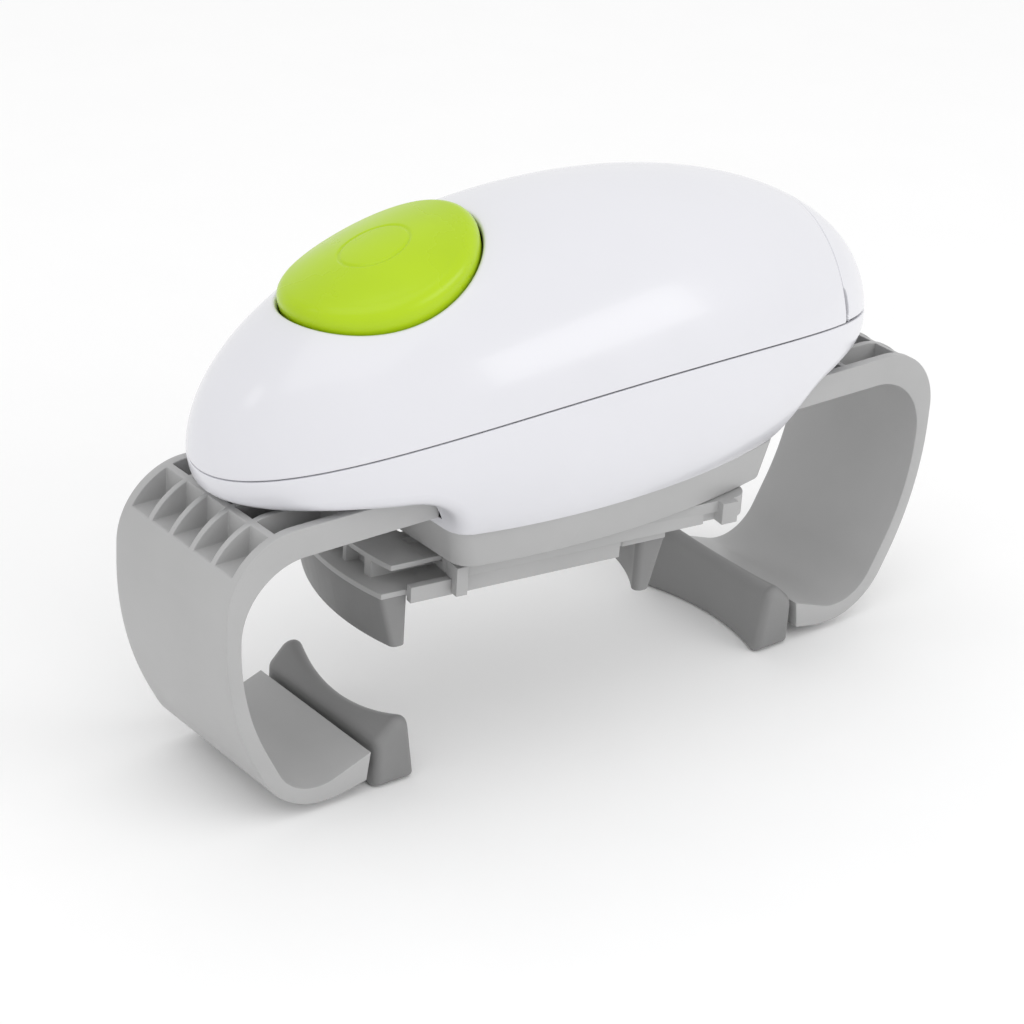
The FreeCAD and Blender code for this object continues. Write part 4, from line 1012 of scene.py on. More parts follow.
@dataclass(frozen=True)
class EndSpace:
    """Space under one overhanging end: flat underside, cove and end face."""

    side: Side
    face: float
    rise: float
    base_z: float = 65.8 * MM
    under_z: float = 77.4 * MM
    cove: float = 13.0 * MM

    @property
    def pivot(self) -> tuple[float, float]:
        """Middle of the cove's arc: distance from the middle, and height."""
        tilt = math.radians(self.rise)
        return self.face + self.cove, self.under_z + self.cove * math.tan(tilt) - self.cove / math.cos(tilt)

    def height(self, reach: np.ndarray, grow: float) -> np.ndarray:
        """Height of the underside, moved up and in by grow.

        Args:
            reach: distances from the middle.
            grow: the offset.

        Returns:
            Heights.
        """
        tilt = math.radians(self.rise)
        x, z = self.pivot
        radius = self.cove + grow
        flat = self.under_z + (reach - self.face) * math.tan(tilt) + grow / math.cos(tilt)
        arch = z + np.sqrt(np.maximum(0.0, radius ** 2 - (x - reach) ** 2))
        inside = reach < x - radius
        high = np.where(reach < x - radius * math.sin(tilt), arch, flat)
        return np.where(inside, self.base_z, np.maximum(high, self.base_z))

    def normal(self, reach: np.ndarray, z: np.ndarray) -> np.ndarray:
        """Directions out of the housing across the underside.

        Args:
            reach: distances from the middle.
            z: heights.

        Returns:
            N by 3 unit vectors.
        """
        tilt = math.radians(self.rise)
        x, pivot_z = self.pivot
        towards = np.stack([x - reach, np.zeros_like(reach), pivot_z - z], -1)
        down = np.array([math.sin(tilt), 0.0, -math.cos(tilt)])
        on_cove = (reach < x)[:, None] & (towards[:, :1] > self.cove * math.sin(tilt))
        found = np.where(on_cove, unit(towards), down)
        found[:, 0] *= self.side.value
        return found

    def length(self, reach: np.ndarray) -> np.ndarray:
        """Length along the profile from the base to each reach.

        Args:
            reach: distances from the middle.

        Returns:
            Lengths.
        """
        x, _ = self.pivot
        turn = np.arccos(np.clip((x - reach) / self.cove, -1.0, 1.0))
        return np.where(reach < x, self.cove * turn, self.cove * 0.5 * math.pi + reach - x)

    def reach(self, length: np.ndarray) -> np.ndarray:
        """Inverse of length.

        Args:
            length: lengths along the profile.

        Returns:
            Distances from the middle.
        """
        x, _ = self.pivot
        quarter = self.cove * 0.5 * math.pi
        return np.where(length < quarter, x - self.cove * np.cos(length / self.cove), x + length - quarter)


@dataclass(frozen=True)
class LowerEdge:
    """Rounded lower edge of the lower shell, its columns, and the slots for the arms."""

    tip_round: float = 3.0 * MM
    corner_round: float = 5.0 * MM
    widening: float = 0.25
    search: float = math.radians(62.0)
    fan: float = math.radians(72.0)
    flat_columns: int = 96
    arc_columns: int = 49
    rim_columns: int = 64
    round_rows: int = 9
    under_rows: int = 33
    slot_x: tuple[float, float] = (20.0 * MM, 72.0 * MM)
    slot_half_width: float = 23.6 * MM
    slot_z: tuple[float, float] = (68.3 * MM, 76.7 * MM)
    sharp: float = 42.0


class LowerShell:
    """White lower shell: side walls, rounded lower edge, undersides and coves."""

    def __init__(self, egg: Egg, seam: Seam, ends: dict[Side, EndSpace], sizes: HousingSizes,
                 lower: LowerEdge) -> None:
        """Keeps the forms that shape the shell.

        Args:
            egg: the housing's form.
            seam: the parting line.
            ends: the space under each end.
            sizes: walls and roundings.
            lower: the lower edge.
        """
        self.egg = egg
        self.seam = seam
        self.ends = ends
        self.sizes = sizes
        self.lower = lower
        self.base_z = ends[Side.LEFT].base_z

    def _contact(self, turns: np.ndarray, rounding: np.ndarray) -> np.ndarray:
        """Where a ball that rolls along the shell's lower edge touches the outer face.

        Args:
            turns: the ball's turns about the housing's axis.
            rounding: its radius at each turn.

        Returns:
            N by 3 points.
        """
        low = np.full_like(turns, -0.5 * math.pi)
        high = np.zeros_like(turns)
        for _ in range(44):
            tilt = 0.5 * (low + high)
            touch = self.egg.at(turns, tilt)
            centre = touch - rounding[:, None] * self.egg.normal(touch)
            under = centre[:, 2] < self._height(centre[:, 0], rounding)
            low = np.where(under, tilt, low)
            high = np.where(under, high, tilt)
        return self.egg.at(turns, high)

    def _height(self, x: np.ndarray, grow: np.ndarray) -> np.ndarray:
        """Underside height at both ends.

        Args:
            x: places along the housing.
            grow: distance that the underside is moved in.

        Returns:
            Heights.
        """
        right = self.ends[Side.RIGHT].height(np.maximum(x, 0.0), grow)
        left = self.ends[Side.LEFT].height(np.maximum(-x, 0.0), grow)
        return np.where(x > 0.0, right, left)

    def _normal(self, points: np.ndarray) -> np.ndarray:
        """Outward direction across the underside nearest to each point.

        Args:
            points: N by 3 points.

        Returns:
            N by 3 unit vectors.
        """
        right = self.ends[Side.RIGHT].normal(points[:, 0], points[:, 2])
        left = self.ends[Side.LEFT].normal(-points[:, 0], points[:, 2])
        return np.where((points[:, 0] > 0.0)[:, None], right, left)

    def build(self, wardrobe: Wardrobe) -> bpy.types.Object:
        """Makes, dresses and seats the shell.

        Args:
            wardrobe: the finishes.

        Returns:
            The shell.
        """
        egg, sizes, shape = self.egg, self.sizes, self.lower
        turns, touch, foot, rounding, on_rim = self._columns()
        skin_normal = egg.normal(touch)
        centres = touch - rounding[:, None] * skin_normal
        surface = Rings()
        top = self.seam.contour(egg, turns, self.seam.gap)
        top_normal = egg.normal(top)
        across = outward(top, foot, top_normal)
        edge = egg.settle(top - sizes.edge * across)
        surface.add(*reversed(rolled_edge(edge, across, top_normal, sizes.edge, sizes.wall - sizes.edge)))
        surface.add(edge)
        start, end = egg.direction(edge), egg.direction(foot)
        for share in ease(sizes.side_rows, 0.5)[1:]:
            surface.add(egg.point(unit(start * (1.0 - share) + end * share)))
        surface.add(*self._fillet(centres, rounding, skin_normal, self._normal(centres), on_rim, foot))
        surface.add(*self._underside(surface.rings[-1], turns, on_rim))
        surface.add(*self._inside(surface.rings[-1]))
        shell = surface.piece("lower_shell_skin", around=True)
        near, far = shape.slot_x
        cut_boxes(shell, [((low, -shape.slot_half_width, shape.slot_z[0]), (high, shape.slot_half_width,
                                                                            shape.slot_z[1]))
                          for low, high in ((-far, -near), (near, far))])
        sharpen(shell, shape.sharp)
        return wardrobe.fit(shell, "white_shell", "housing", "lower_shell")

    def _columns(self) -> tuple[np.ndarray, ...]:
        """Places round the shell.

        Returns:
            For each column its turn at the seam, where the rounding's ball touches, the foot of the wall, the
            rounding's radius, and whether it ends on the lower rim.
        """
        quarters = {side: self._quarter(side) for side in Side}
        turns, touches, feet, rounding, on_rim = [], [], [], [], []
        for side, hand, rows in ((Side.RIGHT, 1, slice(None)), (Side.LEFT, 1, slice(-2, None, -1)),
                                 (Side.LEFT, -1, slice(1, None)), (Side.RIGHT, -1, slice(-2, 0, -1))):
            turn, touch, foot, size, flag = (array[rows] for array in quarters[side])
            turn = turn if side is Side.RIGHT else math.pi - turn
            turns.append(turn if hand > 0 else 2.0 * math.pi - turn)
            touches.append(touch * np.array([1.0, hand, 1.0]))
            feet.append(foot * np.array([1.0, hand, 1.0]))
            rounding.append(size)
            on_rim.append(flag)
        return (np.concatenate(turns), np.vstack(touches), np.vstack(feet), np.concatenate(rounding),
                np.concatenate(on_rim))

    def _quarter(self, side: Side) -> tuple[np.ndarray, ...]:
        """The columns of one quarter, from the tip to the middle on the +Y side.

        Args:
            side: which end of the opener.

        Returns:
            The same five arrays as for the whole shell.
        """
        end, shape = self.ends[side], self.lower
        wide = shape.corner_round
        pivot_x, pivot_z = end.pivot
        rise = math.radians(end.rise)
        reach = end.cove + wide

        def along_edge(turns: np.ndarray) -> tuple[np.ndarray, np.ndarray]:
            """Where the ball touches along the flat part of the edge, and its radius."""
            growth = np.clip((1.0 - np.cos(turns)) / shape.widening, 0.0, 1.0)
            size = shape.tip_round + (wide - shape.tip_round) * growth
            return self._contact(turns if side is Side.RIGHT else math.pi - turns, size), size

        ask = np.linspace(0.0, shape.search, 600)
        touch, size = along_edge(ask)
        centre_x = side.value * (touch - size[:, None] * self.egg.normal(touch))[:, 0]
        last = ask[np.argmax(centre_x < pivot_x - reach * math.sin(rise))]
        flat_turns = np.linspace(0.0, last, shape.flat_columns)
        flat, flat_size = along_edge(flat_turns)
        lowest = math.asin((end.base_z - pivot_z) / reach)
        angles = np.linspace(0.5 * math.pi - rise, lowest, shape.arc_columns)[1:]
        middle = np.stack([side.value * (pivot_x - reach * np.cos(angles)), np.zeros_like(angles),
                           pivot_z + reach * np.sin(angles)], -1)
        arc = self._beside(middle)
        for _ in range(40):
            arc = self._beside(middle + wide * self.egg.normal(arc))
        below = arc[:, 2] < end.base_z
        turned = self._turn_of(arc[~below][-1:])[0]
        foot = arc.copy()
        foot[below] = self._on_rim(np.array([turned]))
        corner = turned if side is Side.RIGHT else math.pi - turned
        rim_turns = np.linspace(corner, 0.5 * math.pi, shape.rim_columns)[1:]
        rim = self._on_rim(rim_turns if side is Side.RIGHT else math.pi - rim_turns)
        turns = np.concatenate([flat_turns, np.linspace(last, shape.fan, shape.arc_columns)[1:],
                                np.linspace(shape.fan, 0.5 * math.pi, shape.rim_columns)[1:]])
        sizes = np.concatenate([flat_size, np.full(len(arc) + len(rim), wide)])
        on_rim = np.arange(len(turns)) >= len(flat) + len(arc)
        return turns, np.vstack([flat, arc, rim]), np.vstack([flat, foot, rim]), sizes, on_rim

    def _beside(self, points: np.ndarray) -> np.ndarray:
        """Points of the outer face below the waist with the same x and z, on the +Y side.

        Args:
            points: N by 3 points.

        Returns:
            N by 3 points.
        """
        egg = self.egg
        x, z = points[:, 0], points[:, 2]
        share = 1.0 - ((x - egg.centre_x) / egg.half_length) ** 2 - ((z - egg.waist_z) / egg.belly) ** 2
        return np.stack([x, egg.half_width * np.sqrt(np.maximum(share, 1.0e-6)), z], -1)

    def _turn_of(self, points: np.ndarray) -> np.ndarray:
        """Turn about the housing's axis at which each point lies."""
        return np.arctan2(points[:, 1] / self.egg.half_width,
                          (points[:, 0] - self.egg.centre_x) / self.egg.half_length)

    def _on_rim(self, turns: np.ndarray) -> np.ndarray:
        """Points of the outer face at the height of the lower rim.

        Args:
            turns: angles round the housing's axis.

        Returns:
            N by 3 points.
        """
        egg = self.egg
        drop = (self.base_z - egg.waist_z) / egg.belly
        level = math.sqrt(1.0 - drop * drop)
        return np.stack([egg.centre_x + egg.half_length * level * np.cos(turns),
                         egg.half_width * level * np.sin(turns), np.full_like(turns, self.base_z)], -1)

    def _fillet(self, centres: np.ndarray, rounding: np.ndarray, skin: np.ndarray, under: np.ndarray,
                on_rim: np.ndarray, foot: np.ndarray) -> list[np.ndarray]:
        """Rings across the rounded lower edge.

        Args:
            centres: middles of the rounding.
            rounding: its radius in each column.
            skin: directions from the middles to the outer face.
            under: directions from the middles to the underside.
            on_rim: columns that end on the lower rim and have no rounding.
            foot: foot of the wall in each column.

        Returns:
            The rings, from the outer face to the underside.
        """
        angle = np.arccos(np.clip(np.sum(skin * under, axis=1), -1.0, 1.0))[:, None]

        def across(share: np.ndarray) -> np.ndarray:
            """Points at a share of the way across the rounding."""
            blend = (np.sin((1.0 - share) * angle) * skin + np.sin(share * angle) * under) / np.sin(angle)
            return centres + rounding[:, None] * blend

        first = np.ones((len(centres), 1))
        for share in np.linspace(1.0, 0.0, 201):
            above = across(np.full_like(first, share))[:, 2] >= self.base_z
            first[above] = share
        rings = []
        for share in np.linspace(0.0, 1.0, self.lower.round_rows):
            ring = across(first + (1.0 - first) * share)
            ring[:, 2] = np.maximum(ring[:, 2], self.base_z)
            ring[on_rim] = foot[on_rim]
            rings.append(ring)
        return rings

    def _underside(self, edge: np.ndarray, turns: np.ndarray, on_rim: np.ndarray) -> list[np.ndarray]:
        """Rings from the rounded edge along the undersides to the lower rim.

        Args:
            edge: where the rounding meets the underside.
            turns: turn of each column at the seam.
            on_rim: columns that lie on the lower rim already.

        Returns:
            The rings after the given one.
        """
        target = edge.copy()
        ends = []
        for side, end in self.ends.items():
            chosen = np.where(~on_rim & (np.sign(edge[:, 0]) == side.value))[0]
            key = np.arctan2(np.sin(turns[chosen]), side.value * np.cos(turns[chosen]))
            order = chosen[np.argsort(key)]
            corner = float(np.abs(edge[order[[0, -1]], 1]).mean())
            target[order, 1] = np.linspace(-corner, corner, len(order))
            ends.append((side, end, order))
        rings = []
        for share in np.linspace(0.0, 1.0, self.lower.under_rows)[1:]:
            ring = edge.copy()
            for side, end, order in ends:
                reach = end.reach(end.length(np.abs(edge[order, 0])) * (1.0 - share))
                ring[order, 0] = side.value * reach
                ring[order, 1] = edge[order, 1] * (1.0 - share) + target[order, 1] * share
                ring[order, 2] = np.where(reach > end.face + 1.0e-6, end.height(reach, 0.0), self.base_z)
            rings.append(ring)
        return rings

    def _inside(self, rim: np.ndarray) -> list[np.ndarray]:
        """Rings of the hollow inside, from the rim up towards the seam.

        Args:
            rim: the last ring of the underside.

        Returns:
            The rings after it.
        """
        wall = self.sizes.wall
        inward = unit(np.stack([-rim[:, 0], -rim[:, 1] * 2.0, np.zeros(len(rim))], -1))
        inner = rim + 1.3 * wall * inward
        shelf = inner.copy()
        shelf[:, 2] = self.ends[Side.LEFT].under_z + wall
        return [inner, shelf]


@dataclass(frozen=True)
class ButtonSizes:
    """Dome, groove and hollow skirt of the push button."""

    edge: float = 3.0 * MM
    edge_steps: int = 8
    skirt: float = 12.4 * MM
    lip: float = 0.5 * MM
    wall: float = 2.0 * MM
    ceiling: float = 1.2 * MM
    groove_share: float = 0.40
    groove_half: float = 0.018
    groove_depth: float = 0.30 * MM
    dome_lean: float = 0.45
    columns: int = 256


class PushButton:
    """Oval push button with a rolled rim and a plain oval groove."""

    def __init__(self, egg: Egg, place: ButtonPlace, sizes: ButtonSizes) -> None:
        """Keeps the forms that shape the button.

        Args:
            egg: the housing's form.
            place: the button's place.
            sizes: the button's own sizes.
        """
        self.egg = egg
        self.place = place
        self.sizes = sizes

    def build(self, wardrobe: Wardrobe) -> bpy.types.Object:
        """Makes, dresses and seats the button.

        Args:
            wardrobe: the finishes.

        Returns:
            The button.
        """
        egg, place, s = self.egg, self.place, self.sizes
        dome = Egg(egg.centre_x, egg.waist_z, egg.half_length + place.proud, egg.half_width + place.proud,
                   egg.crown + place.proud, egg.belly + place.proud)
        seat, _, _, up = place.axes(egg)

        def oval(grow_length: float, grow_width: float) -> np.ndarray:
            """The button's grown outline on its dome."""
            return place.oval(egg, dome, (grow_length, grow_width), s.columns)

        def shrunk(share: float, inset: float) -> np.ndarray:
            """The outline, moved in and then made smaller."""
            return oval((place.half_length - inset) * share - place.half_length,
                        (place.half_width - inset) * share - place.half_width)

        surface = Rings()
        shares = np.concatenate([np.linspace(0.03, 0.34, 8), np.linspace(0.355, 0.445, 12),
                                 np.linspace(0.47, 1.0, 22)])
        for share in shares:
            dip = math.exp(-((share - s.groove_share) / s.groove_half) ** 2)
            surface.add(shrunk(share, s.edge) - s.groove_depth * dip * up)
        last = surface.rings[-1]
        for turn in 0.5 * math.pi * np.arange(1, s.edge_steps + 1) / s.edge_steps:
            grow = -s.edge * (1.0 - math.sin(turn))
            ring = oval(grow, grow)
            plan = ring - np.outer(ring @ up, up)
            level = (ring @ up) * (1.0 - s.dome_lean) + (last @ up) * s.dome_lean
            surface.add(plan + np.outer(level - s.edge * (1.0 - math.cos(turn)), up))
        surface.add(surface.rings[-1] - s.lip * up)
        floor = float(seat @ up) - s.skirt
        for grow in (0.0, -s.wall):
            ring = oval(grow, grow)
            surface.add(ring + np.outer(floor - ring @ up, up))
        for share in (1.0, 0.7, 0.35, 0.03):
            surface.add(shrunk(share, s.wall) - (s.edge + s.ceiling) * up)
        return wardrobe.fit(surface.piece("push_button", caps=True), "green_button", "button", "button")


# ---------------------------------------------------------------- arms
@dataclass(frozen=True)
class ArmSizes:
    """Outline and pockets of one jar arm, as distances from the middle."""

    width: float = 46.0 * MM
    bar_end: float = 52.0 * MM
    outer: tuple = ((109.9, 76.0, 18.0), (109.9, 34.0, 80.0), (93.0, 2.2, 20.0), (77.5, 2.2, 9.0))
    outer_tip: tuple = (69.4, 3.8)
    inner: tuple = ((105.8, 68.6, 17.0), (105.8, 35.0, 66.0), (89.15, 3.65, 13.0))
    inner_tip: tuple = (68.4, 11.2)
    pocket_rows: tuple = ((60.8, 77.2, 70.6), (78.8, 96.2, 70.6), (97.8, 107.4, 67.3))
    pocket_count: int = 5
    pocket_lowest: float = 60.0 * MM
    top_stations: int = 70
    rib: float = 1.6 * MM
    side_wall: float = 2.4 * MM
    edge: float = 0.7 * MM


class JarArm:
    """One C-shaped arm: ribbed corner, curved leg and foot."""

    def __init__(self, side: Side, sizes: ArmSizes) -> None:
        """Keeps the arm's side and sizes.

        Args:
            side: which end of the opener.
            sizes: the outline.
        """
        self.side = side
        self.sizes = sizes

    def _path(self, corners: tuple, tip: tuple, steps: list[int], line_steps: list[int]) -> np.ndarray:
        """Points of the outer or the inner outline, from the bar's end to the tip.

        Args:
            corners: x, z and radius of each corner, in millimetres.
            tip: x and z of the tip, in millimetres.
            steps: points along each corner's arc.
            line_steps: points along each straight stretch.

        Returns:
            N by 2 points.
        """
        points = [np.array([self.sizes.bar_end, corners[0][1] * MM])]
        points += [np.array([x, z]) * MM for x, z, _ in corners]
        points.append(np.array(tip) * MM)
        found = [points[0]]
        for number, (_, _, radius) in enumerate(corners):
            shares = np.arange(1, steps[number] + 1) / steps[number]
            start, arc = corner_arc(*points[number:number + 3], radius * MM, shares)
            self._run(found, start, line_steps[number])
            found.extend(arc)
        self._run(found, points[-1], line_steps[-1])
        return np.array(found)

    @staticmethod
    def _run(found: list[np.ndarray], end: np.ndarray, count: int) -> None:
        """Adds evenly spaced points from the last one found to an end.

        Args:
            found: the points so far.
            end: the last point to add.
            count: how many to add.
        """
        for left in range(count, 0, -1):
            found.append(found[-1] + (end - found[-1]) / left)

    def _stations(self) -> tuple[np.ndarray, np.ndarray, dict[int, float]]:
        """Matched points of both outlines, and the pockets.

        Returns:
            The outer points, the inner points, and the pocket floor's height over each station.
        """
        s = self.sizes
        outer = self._path(s.outer, s.outer_tip, [32, 26, 26, 8], [36, 4, 8, 6, 3])
        inner = self._path(s.inner, s.inner_tip, [32, 26, 26], [36, 4, 8, 17])
        floors: dict[int, float] = {}
        top = np.where(outer[:s.top_stations, 1] > s.pocket_lowest)[0]
        for near, far, floor in s.pocket_rows:
            span = []
            for x in (near * MM, far * MM):
                place = int(top[np.argmin(np.abs(outer[top, 0] - x))])
                outer[place] = [x, float(np.interp(x, outer[top, 0], outer[top, 1]))]
                span.append(place)
            for station in range(span[0], span[1]):
                floors[station] = floor * MM
        return outer, inner, floors

    def _bands(self) -> list[float]:
        """Y places of the side walls and ribs.

        Returns:
            The places, from one side to the other.
        """
        s = self.sizes
        cell = (s.width - 2.0 * s.side_wall - (s.pocket_count - 1) * s.rib) / s.pocket_count
        found = [-s.width / 2.0]
        y = -s.width / 2.0 + s.side_wall
        for _ in range(s.pocket_count):
            found += [y, y + cell]
            y += cell + s.rib
        return found + [s.width / 2.0]

    def build(self, wardrobe: Wardrobe) -> bpy.types.Object:
        """Makes, dresses and seats the arm.

        Args:
            wardrobe: the finishes.

        Returns:
            The arm.
        """
        outer, inner, floors = self._stations()
        ys = self._bands()
        mesh = bmesh.new()
        made: dict[tuple, bmesh.types.BMVert] = {}

        def vertex(kind: str, station: int, band: int) -> bmesh.types.BMVert:
            """The vertex of one outline at a station and a band.

            Args:
                kind: outer, inner or floor.
                station: number along the outline.
                band: number across the arm.

            Returns:
                The vertex, made once.
            """
            x, z = inner[station] if kind == "inner" else outer[station]
            if kind == "floor":
                floor = floors.get(station, floors.get(station - 1, z))
                kind, z = ("floor", floor) if z > floor + 0.3 * MM else ("outer", z)
            key = (kind, station, band)
            if key not in made:
                made[key] = mesh.verts.new((self.side.value * x, ys[band], z))
            return made[key]

        def wall(*corners: tuple[str, int, int]) -> None:
            """Adds a face between corners, where at least three of them differ."""
            ring = list(dict.fromkeys(vertex(*corner) for corner in corners))
            if len(ring) > 2:
                mesh.faces.new(ring)

        def step(i: int, j: int) -> None:
            """Closes the end of a pocket at a station."""
            wall(("outer", i, j), ("outer", i, j + 1), ("floor", i, j + 1), ("floor", i, j))

        count, last = len(outer), len(ys) - 1
        for i in range(count - 1):
            after = i + 1
            for j in range(last):
                pocket = i in floors and j % 2 == 1
                kind = "floor" if pocket else "outer"
                wall((kind, i, j), (kind, after, j), (kind, after, j + 1), (kind, i, j + 1))
                wall(("inner", i, j), ("inner", i, j + 1), ("inner", after, j + 1), ("inner", after, j))
                if pocket:
                    for band in (j, j + 1):
                        wall(("outer", i, band), ("outer", after, band),
                             ("floor", after, band), ("floor", i, band))
                    if i - 1 not in floors:
                        step(i, j)
                    if after not in floors:
                        step(after, j)
            for j in (0, last):
                wall(("outer", i, j), ("outer", after, j), ("inner", after, j), ("inner", i, j))
        for i in (0, count - 1):
            for j in range(last):
                wall(("outer", i, j), ("outer", i, j + 1), ("inner", i, j + 1), ("inner", i, j))
        bmesh.ops.recalc_face_normals(mesh, faces=mesh.faces)
        shade_smooth(mesh)
        arm = link_mesh(self.side.tag("jar_arm"), mesh)
        soften(arm, self.sizes.edge)
        node = self.side.tag("arm")
        return wardrobe.fit(arm, "grey_plastic", node, node)


@dataclass(frozen=True)
class ArmPadSizes:
    """Rubber pad on the tip of an arm."""

    inner_x: float = 54.8 * MM
    outer_x: float = 66.8 * MM
    lean: float = 3.5 * MM
    half_width: float = 23.5 * MM
    high_z: float = 20.9 * MM
    low_z: float = 13.2 * MM
    hollow: float = 4.0 * MM
    hollow_margin: float = 2.0 * MM
    edge: float = 3.0 * MM
    sole_edge: float = 1.2 * MM
    end_rows: int = 8


class ArmPad:
    """Bow-tie shaped rubber pad with a hollow jar face."""

    def __init__(self, side: Side, sizes: ArmPadSizes) -> None:
        """Keeps the pad's side and sizes.

        Args:
            side: which end of the opener.
            sizes: the pad's form.
        """
        self.side = side
        self.sizes = sizes

    def _section(self, y: float) -> np.ndarray:
        """Rounded section across the pad at one place along it.

        Args:
            y: the place, from the pad's middle.

        Returns:
            N by 2 points, as distance from the middle and height.
        """
        s = self.sizes
        bow = s.hollow * max(0.0, 1.0 - (y / (s.half_width - s.hollow_margin)) ** 2)
        near = s.inner_x + bow
        top = s.high_z - (s.high_z - s.low_z) / (s.outer_x - s.inner_x - s.lean) * bow
        corners = [(near, 0.0, s.sole_edge), (near + s.lean * top / s.high_z, top, s.edge),
                   (s.outer_x, s.low_z, s.edge), (s.outer_x, 0.0, s.sole_edge)]
        points = []
        for number, (x, z, radius) in enumerate(corners):
            before, after = (np.array(corners[place % 4][:2]) for place in (number - 1, number + 1))
            points.extend(corner_arc(before, np.array([x, z]), after, radius, np.linspace(0.0, 1.0, 9))[1])
        return np.array(points)

    def build(self, wardrobe: Wardrobe) -> bpy.types.Object:
        """Makes, dresses and seats the pad.

        Args:
            wardrobe: the finishes.

        Returns:
            The pad.
        """
        s = self.sizes
        surface = Rings()
        turns = 0.5 * math.pi * np.linspace(0.0, 1.0, s.end_rows)
        ends = [(-s.half_width + s.edge * (1.0 - math.cos(turn)), 1.0 - math.sin(turn)) for turn in turns]
        flank = s.half_width - s.edge
        places = ends + [(y, 0.0) for y in np.linspace(-flank, flank, 42)[1:-1]]
        places += [(-y, shrink) for y, shrink in reversed(ends)]
        for y, shrink in places:
            section = self._section(y)
            middle = np.array([section[:, 0].mean(), 0.5 * s.low_z])
            pulled = section + unit(middle - section) * s.edge * shrink
            pulled[:, 1] = np.maximum(pulled[:, 1], 0.0)
            surface.add(np.stack([self.side.value * pulled[:, 0], np.full(len(pulled), y), pulled[:, 1]], -1))
        pad = surface.piece(self.side.tag("arm_pad_grip"), caps=True)
        return wardrobe.fit(pad, "grip_rubber", self.side.tag("arm"), self.side.tag("arm_pad"))


# ---------------------------------------------------------------- cover, carriage and jaws
@dataclass(frozen=True)
class Moulding:
    """Finish of one moulded piece that has the same form as its solid."""

    node: str
    slot: str
    edge: float
    hard: float = 30.0


class MouldedPiece:
    """A moulding with every hard edge of its solid rounded, as it leaves the tool."""

    def __init__(self, sizes: Moulding) -> None:
        """Keeps which solid is dressed and how its edges are rounded.

        Args:
            sizes: the moulding.
        """
        self.sizes = sizes

    def build(self, wardrobe: Wardrobe) -> bpy.types.Object:
        """Makes, dresses and seats the moulding.

        Args:
            wardrobe: the finishes.

        Returns:
            The moulding.
        """
        sizes = self.sizes
        solid = frame["nodes"][sizes.node]
        work = bmesh.new()
        work.from_mesh(solid.data)
        work.transform(solid.matrix_world)
        bmesh.ops.remove_doubles(work, verts=work.verts, dist=2.0e-6)
        bmesh.ops.dissolve_limit(work, angle_limit=math.radians(0.6), verts=work.verts, edges=work.edges)
        shade_smooth(work)
        piece = link_mesh(f"{sizes.node}_moulding", work)
        soften(piece, sizes.edge, sizes.hard)
        return wardrobe.fit(piece, sizes.slot, solid["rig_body"], sizes.node)


class PressedSpring(MouldedPiece):
    """Leaf spring of the button, rounded like the other mouldings, on a mesh of its own."""

    seat_depth: float = 17.0 * MM
    kept: float = 0.78

    def __init__(self, sizes: Moulding, egg: Egg, place: ButtonPlace) -> None:
        """Keeps the spring's seat.

        Args:
            sizes: the moulding.
            egg: the housing's form.
            place: the button's place.
        """
        super().__init__(sizes)
        self.egg = egg
        self.place = place

    def build(self, wardrobe: Wardrobe) -> bpy.types.Object:
        """Makes, dresses and seats the spring.

        Args:
            wardrobe: the finishes.

        Returns:
            The spring.
        """
        spring = super().build(wardrobe)
        seat, _, _, up = self.place.axes(self.egg)
        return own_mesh(spring, "button_press", tuple(up), tuple(seat - self.seat_depth * up), self.kept)


@dataclass(frozen=True)
class ShelfSizes:
    """Side strips that lengthen a jaw's top plate and flange into the carriage."""

    turn: float = -8.0
    offset: float = 19.5 * MM
    inner_x: float = 19.0 * MM
    outer_x: float = 27.4 * MM
    plate: tuple = (13.0 * MM, 21.4 * MM, 52.02 * MM, 53.38 * MM)
    neck: tuple = (13.0 * MM, 14.9 * MM, 47.4 * MM, 52.2 * MM)
    flange: tuple = (13.0 * MM, 23.4 * MM, 46.22 * MM, 47.58 * MM)
    edge: float = 0.25 * MM


class JawShelf:
    """Thin strips of one jaw that stay in the channel when the jaw is out."""

    def __init__(self, side: Side, sizes: ShelfSizes) -> None:
        """Keeps which jaw it is.

        Args:
            side: the jaw's side.
            sizes: the strips.
        """
        self.side = side
        self.sizes = sizes

    def build(self, wardrobe: Wardrobe) -> bpy.types.Object:
        """Makes, dresses and seats the strips.

        Args:
            wardrobe: the finishes.

        Returns:
            The strips, as one piece.
        """
        s = self.sizes
        work = bmesh.new()
        for near, far, low, high in (s.plate, s.neck, s.flange):
            for left, right in ((-far, -near), (near, far)):
                add_box(work, (s.inner_x, left, low), (s.outer_x, right, high))
        bmesh.ops.scale(work, vec=(self.side.value, self.side.value, 1.0), verts=work.verts)
        bmesh.ops.translate(work, vec=(-s.offset, 0.0, 0.0), verts=work.verts)
        work.transform(Matrix.Rotation(math.radians(s.turn), 4, "Z"))
        shelf = link_mesh(self.side.tag("jaw_shelf"), work)
        soften(shelf, s.edge)
        return wardrobe.fit(shelf, "grey_plastic", frame["nodes"][self.side.tag("jaw_slider")]["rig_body"])


# ---------------------------------------------------------------- studio
@dataclass(frozen=True)
class CameraPlace:
    """Place, turn and lens of the camera."""

    turn: float = -40.10
    rise: float = 26.71
    roll: float = 3.83
    distance: float = 0.750
    target: tuple = (-0.0109, 0.0, 0.0491)
    lens: float = 107.6
    sensor: float = 36.0


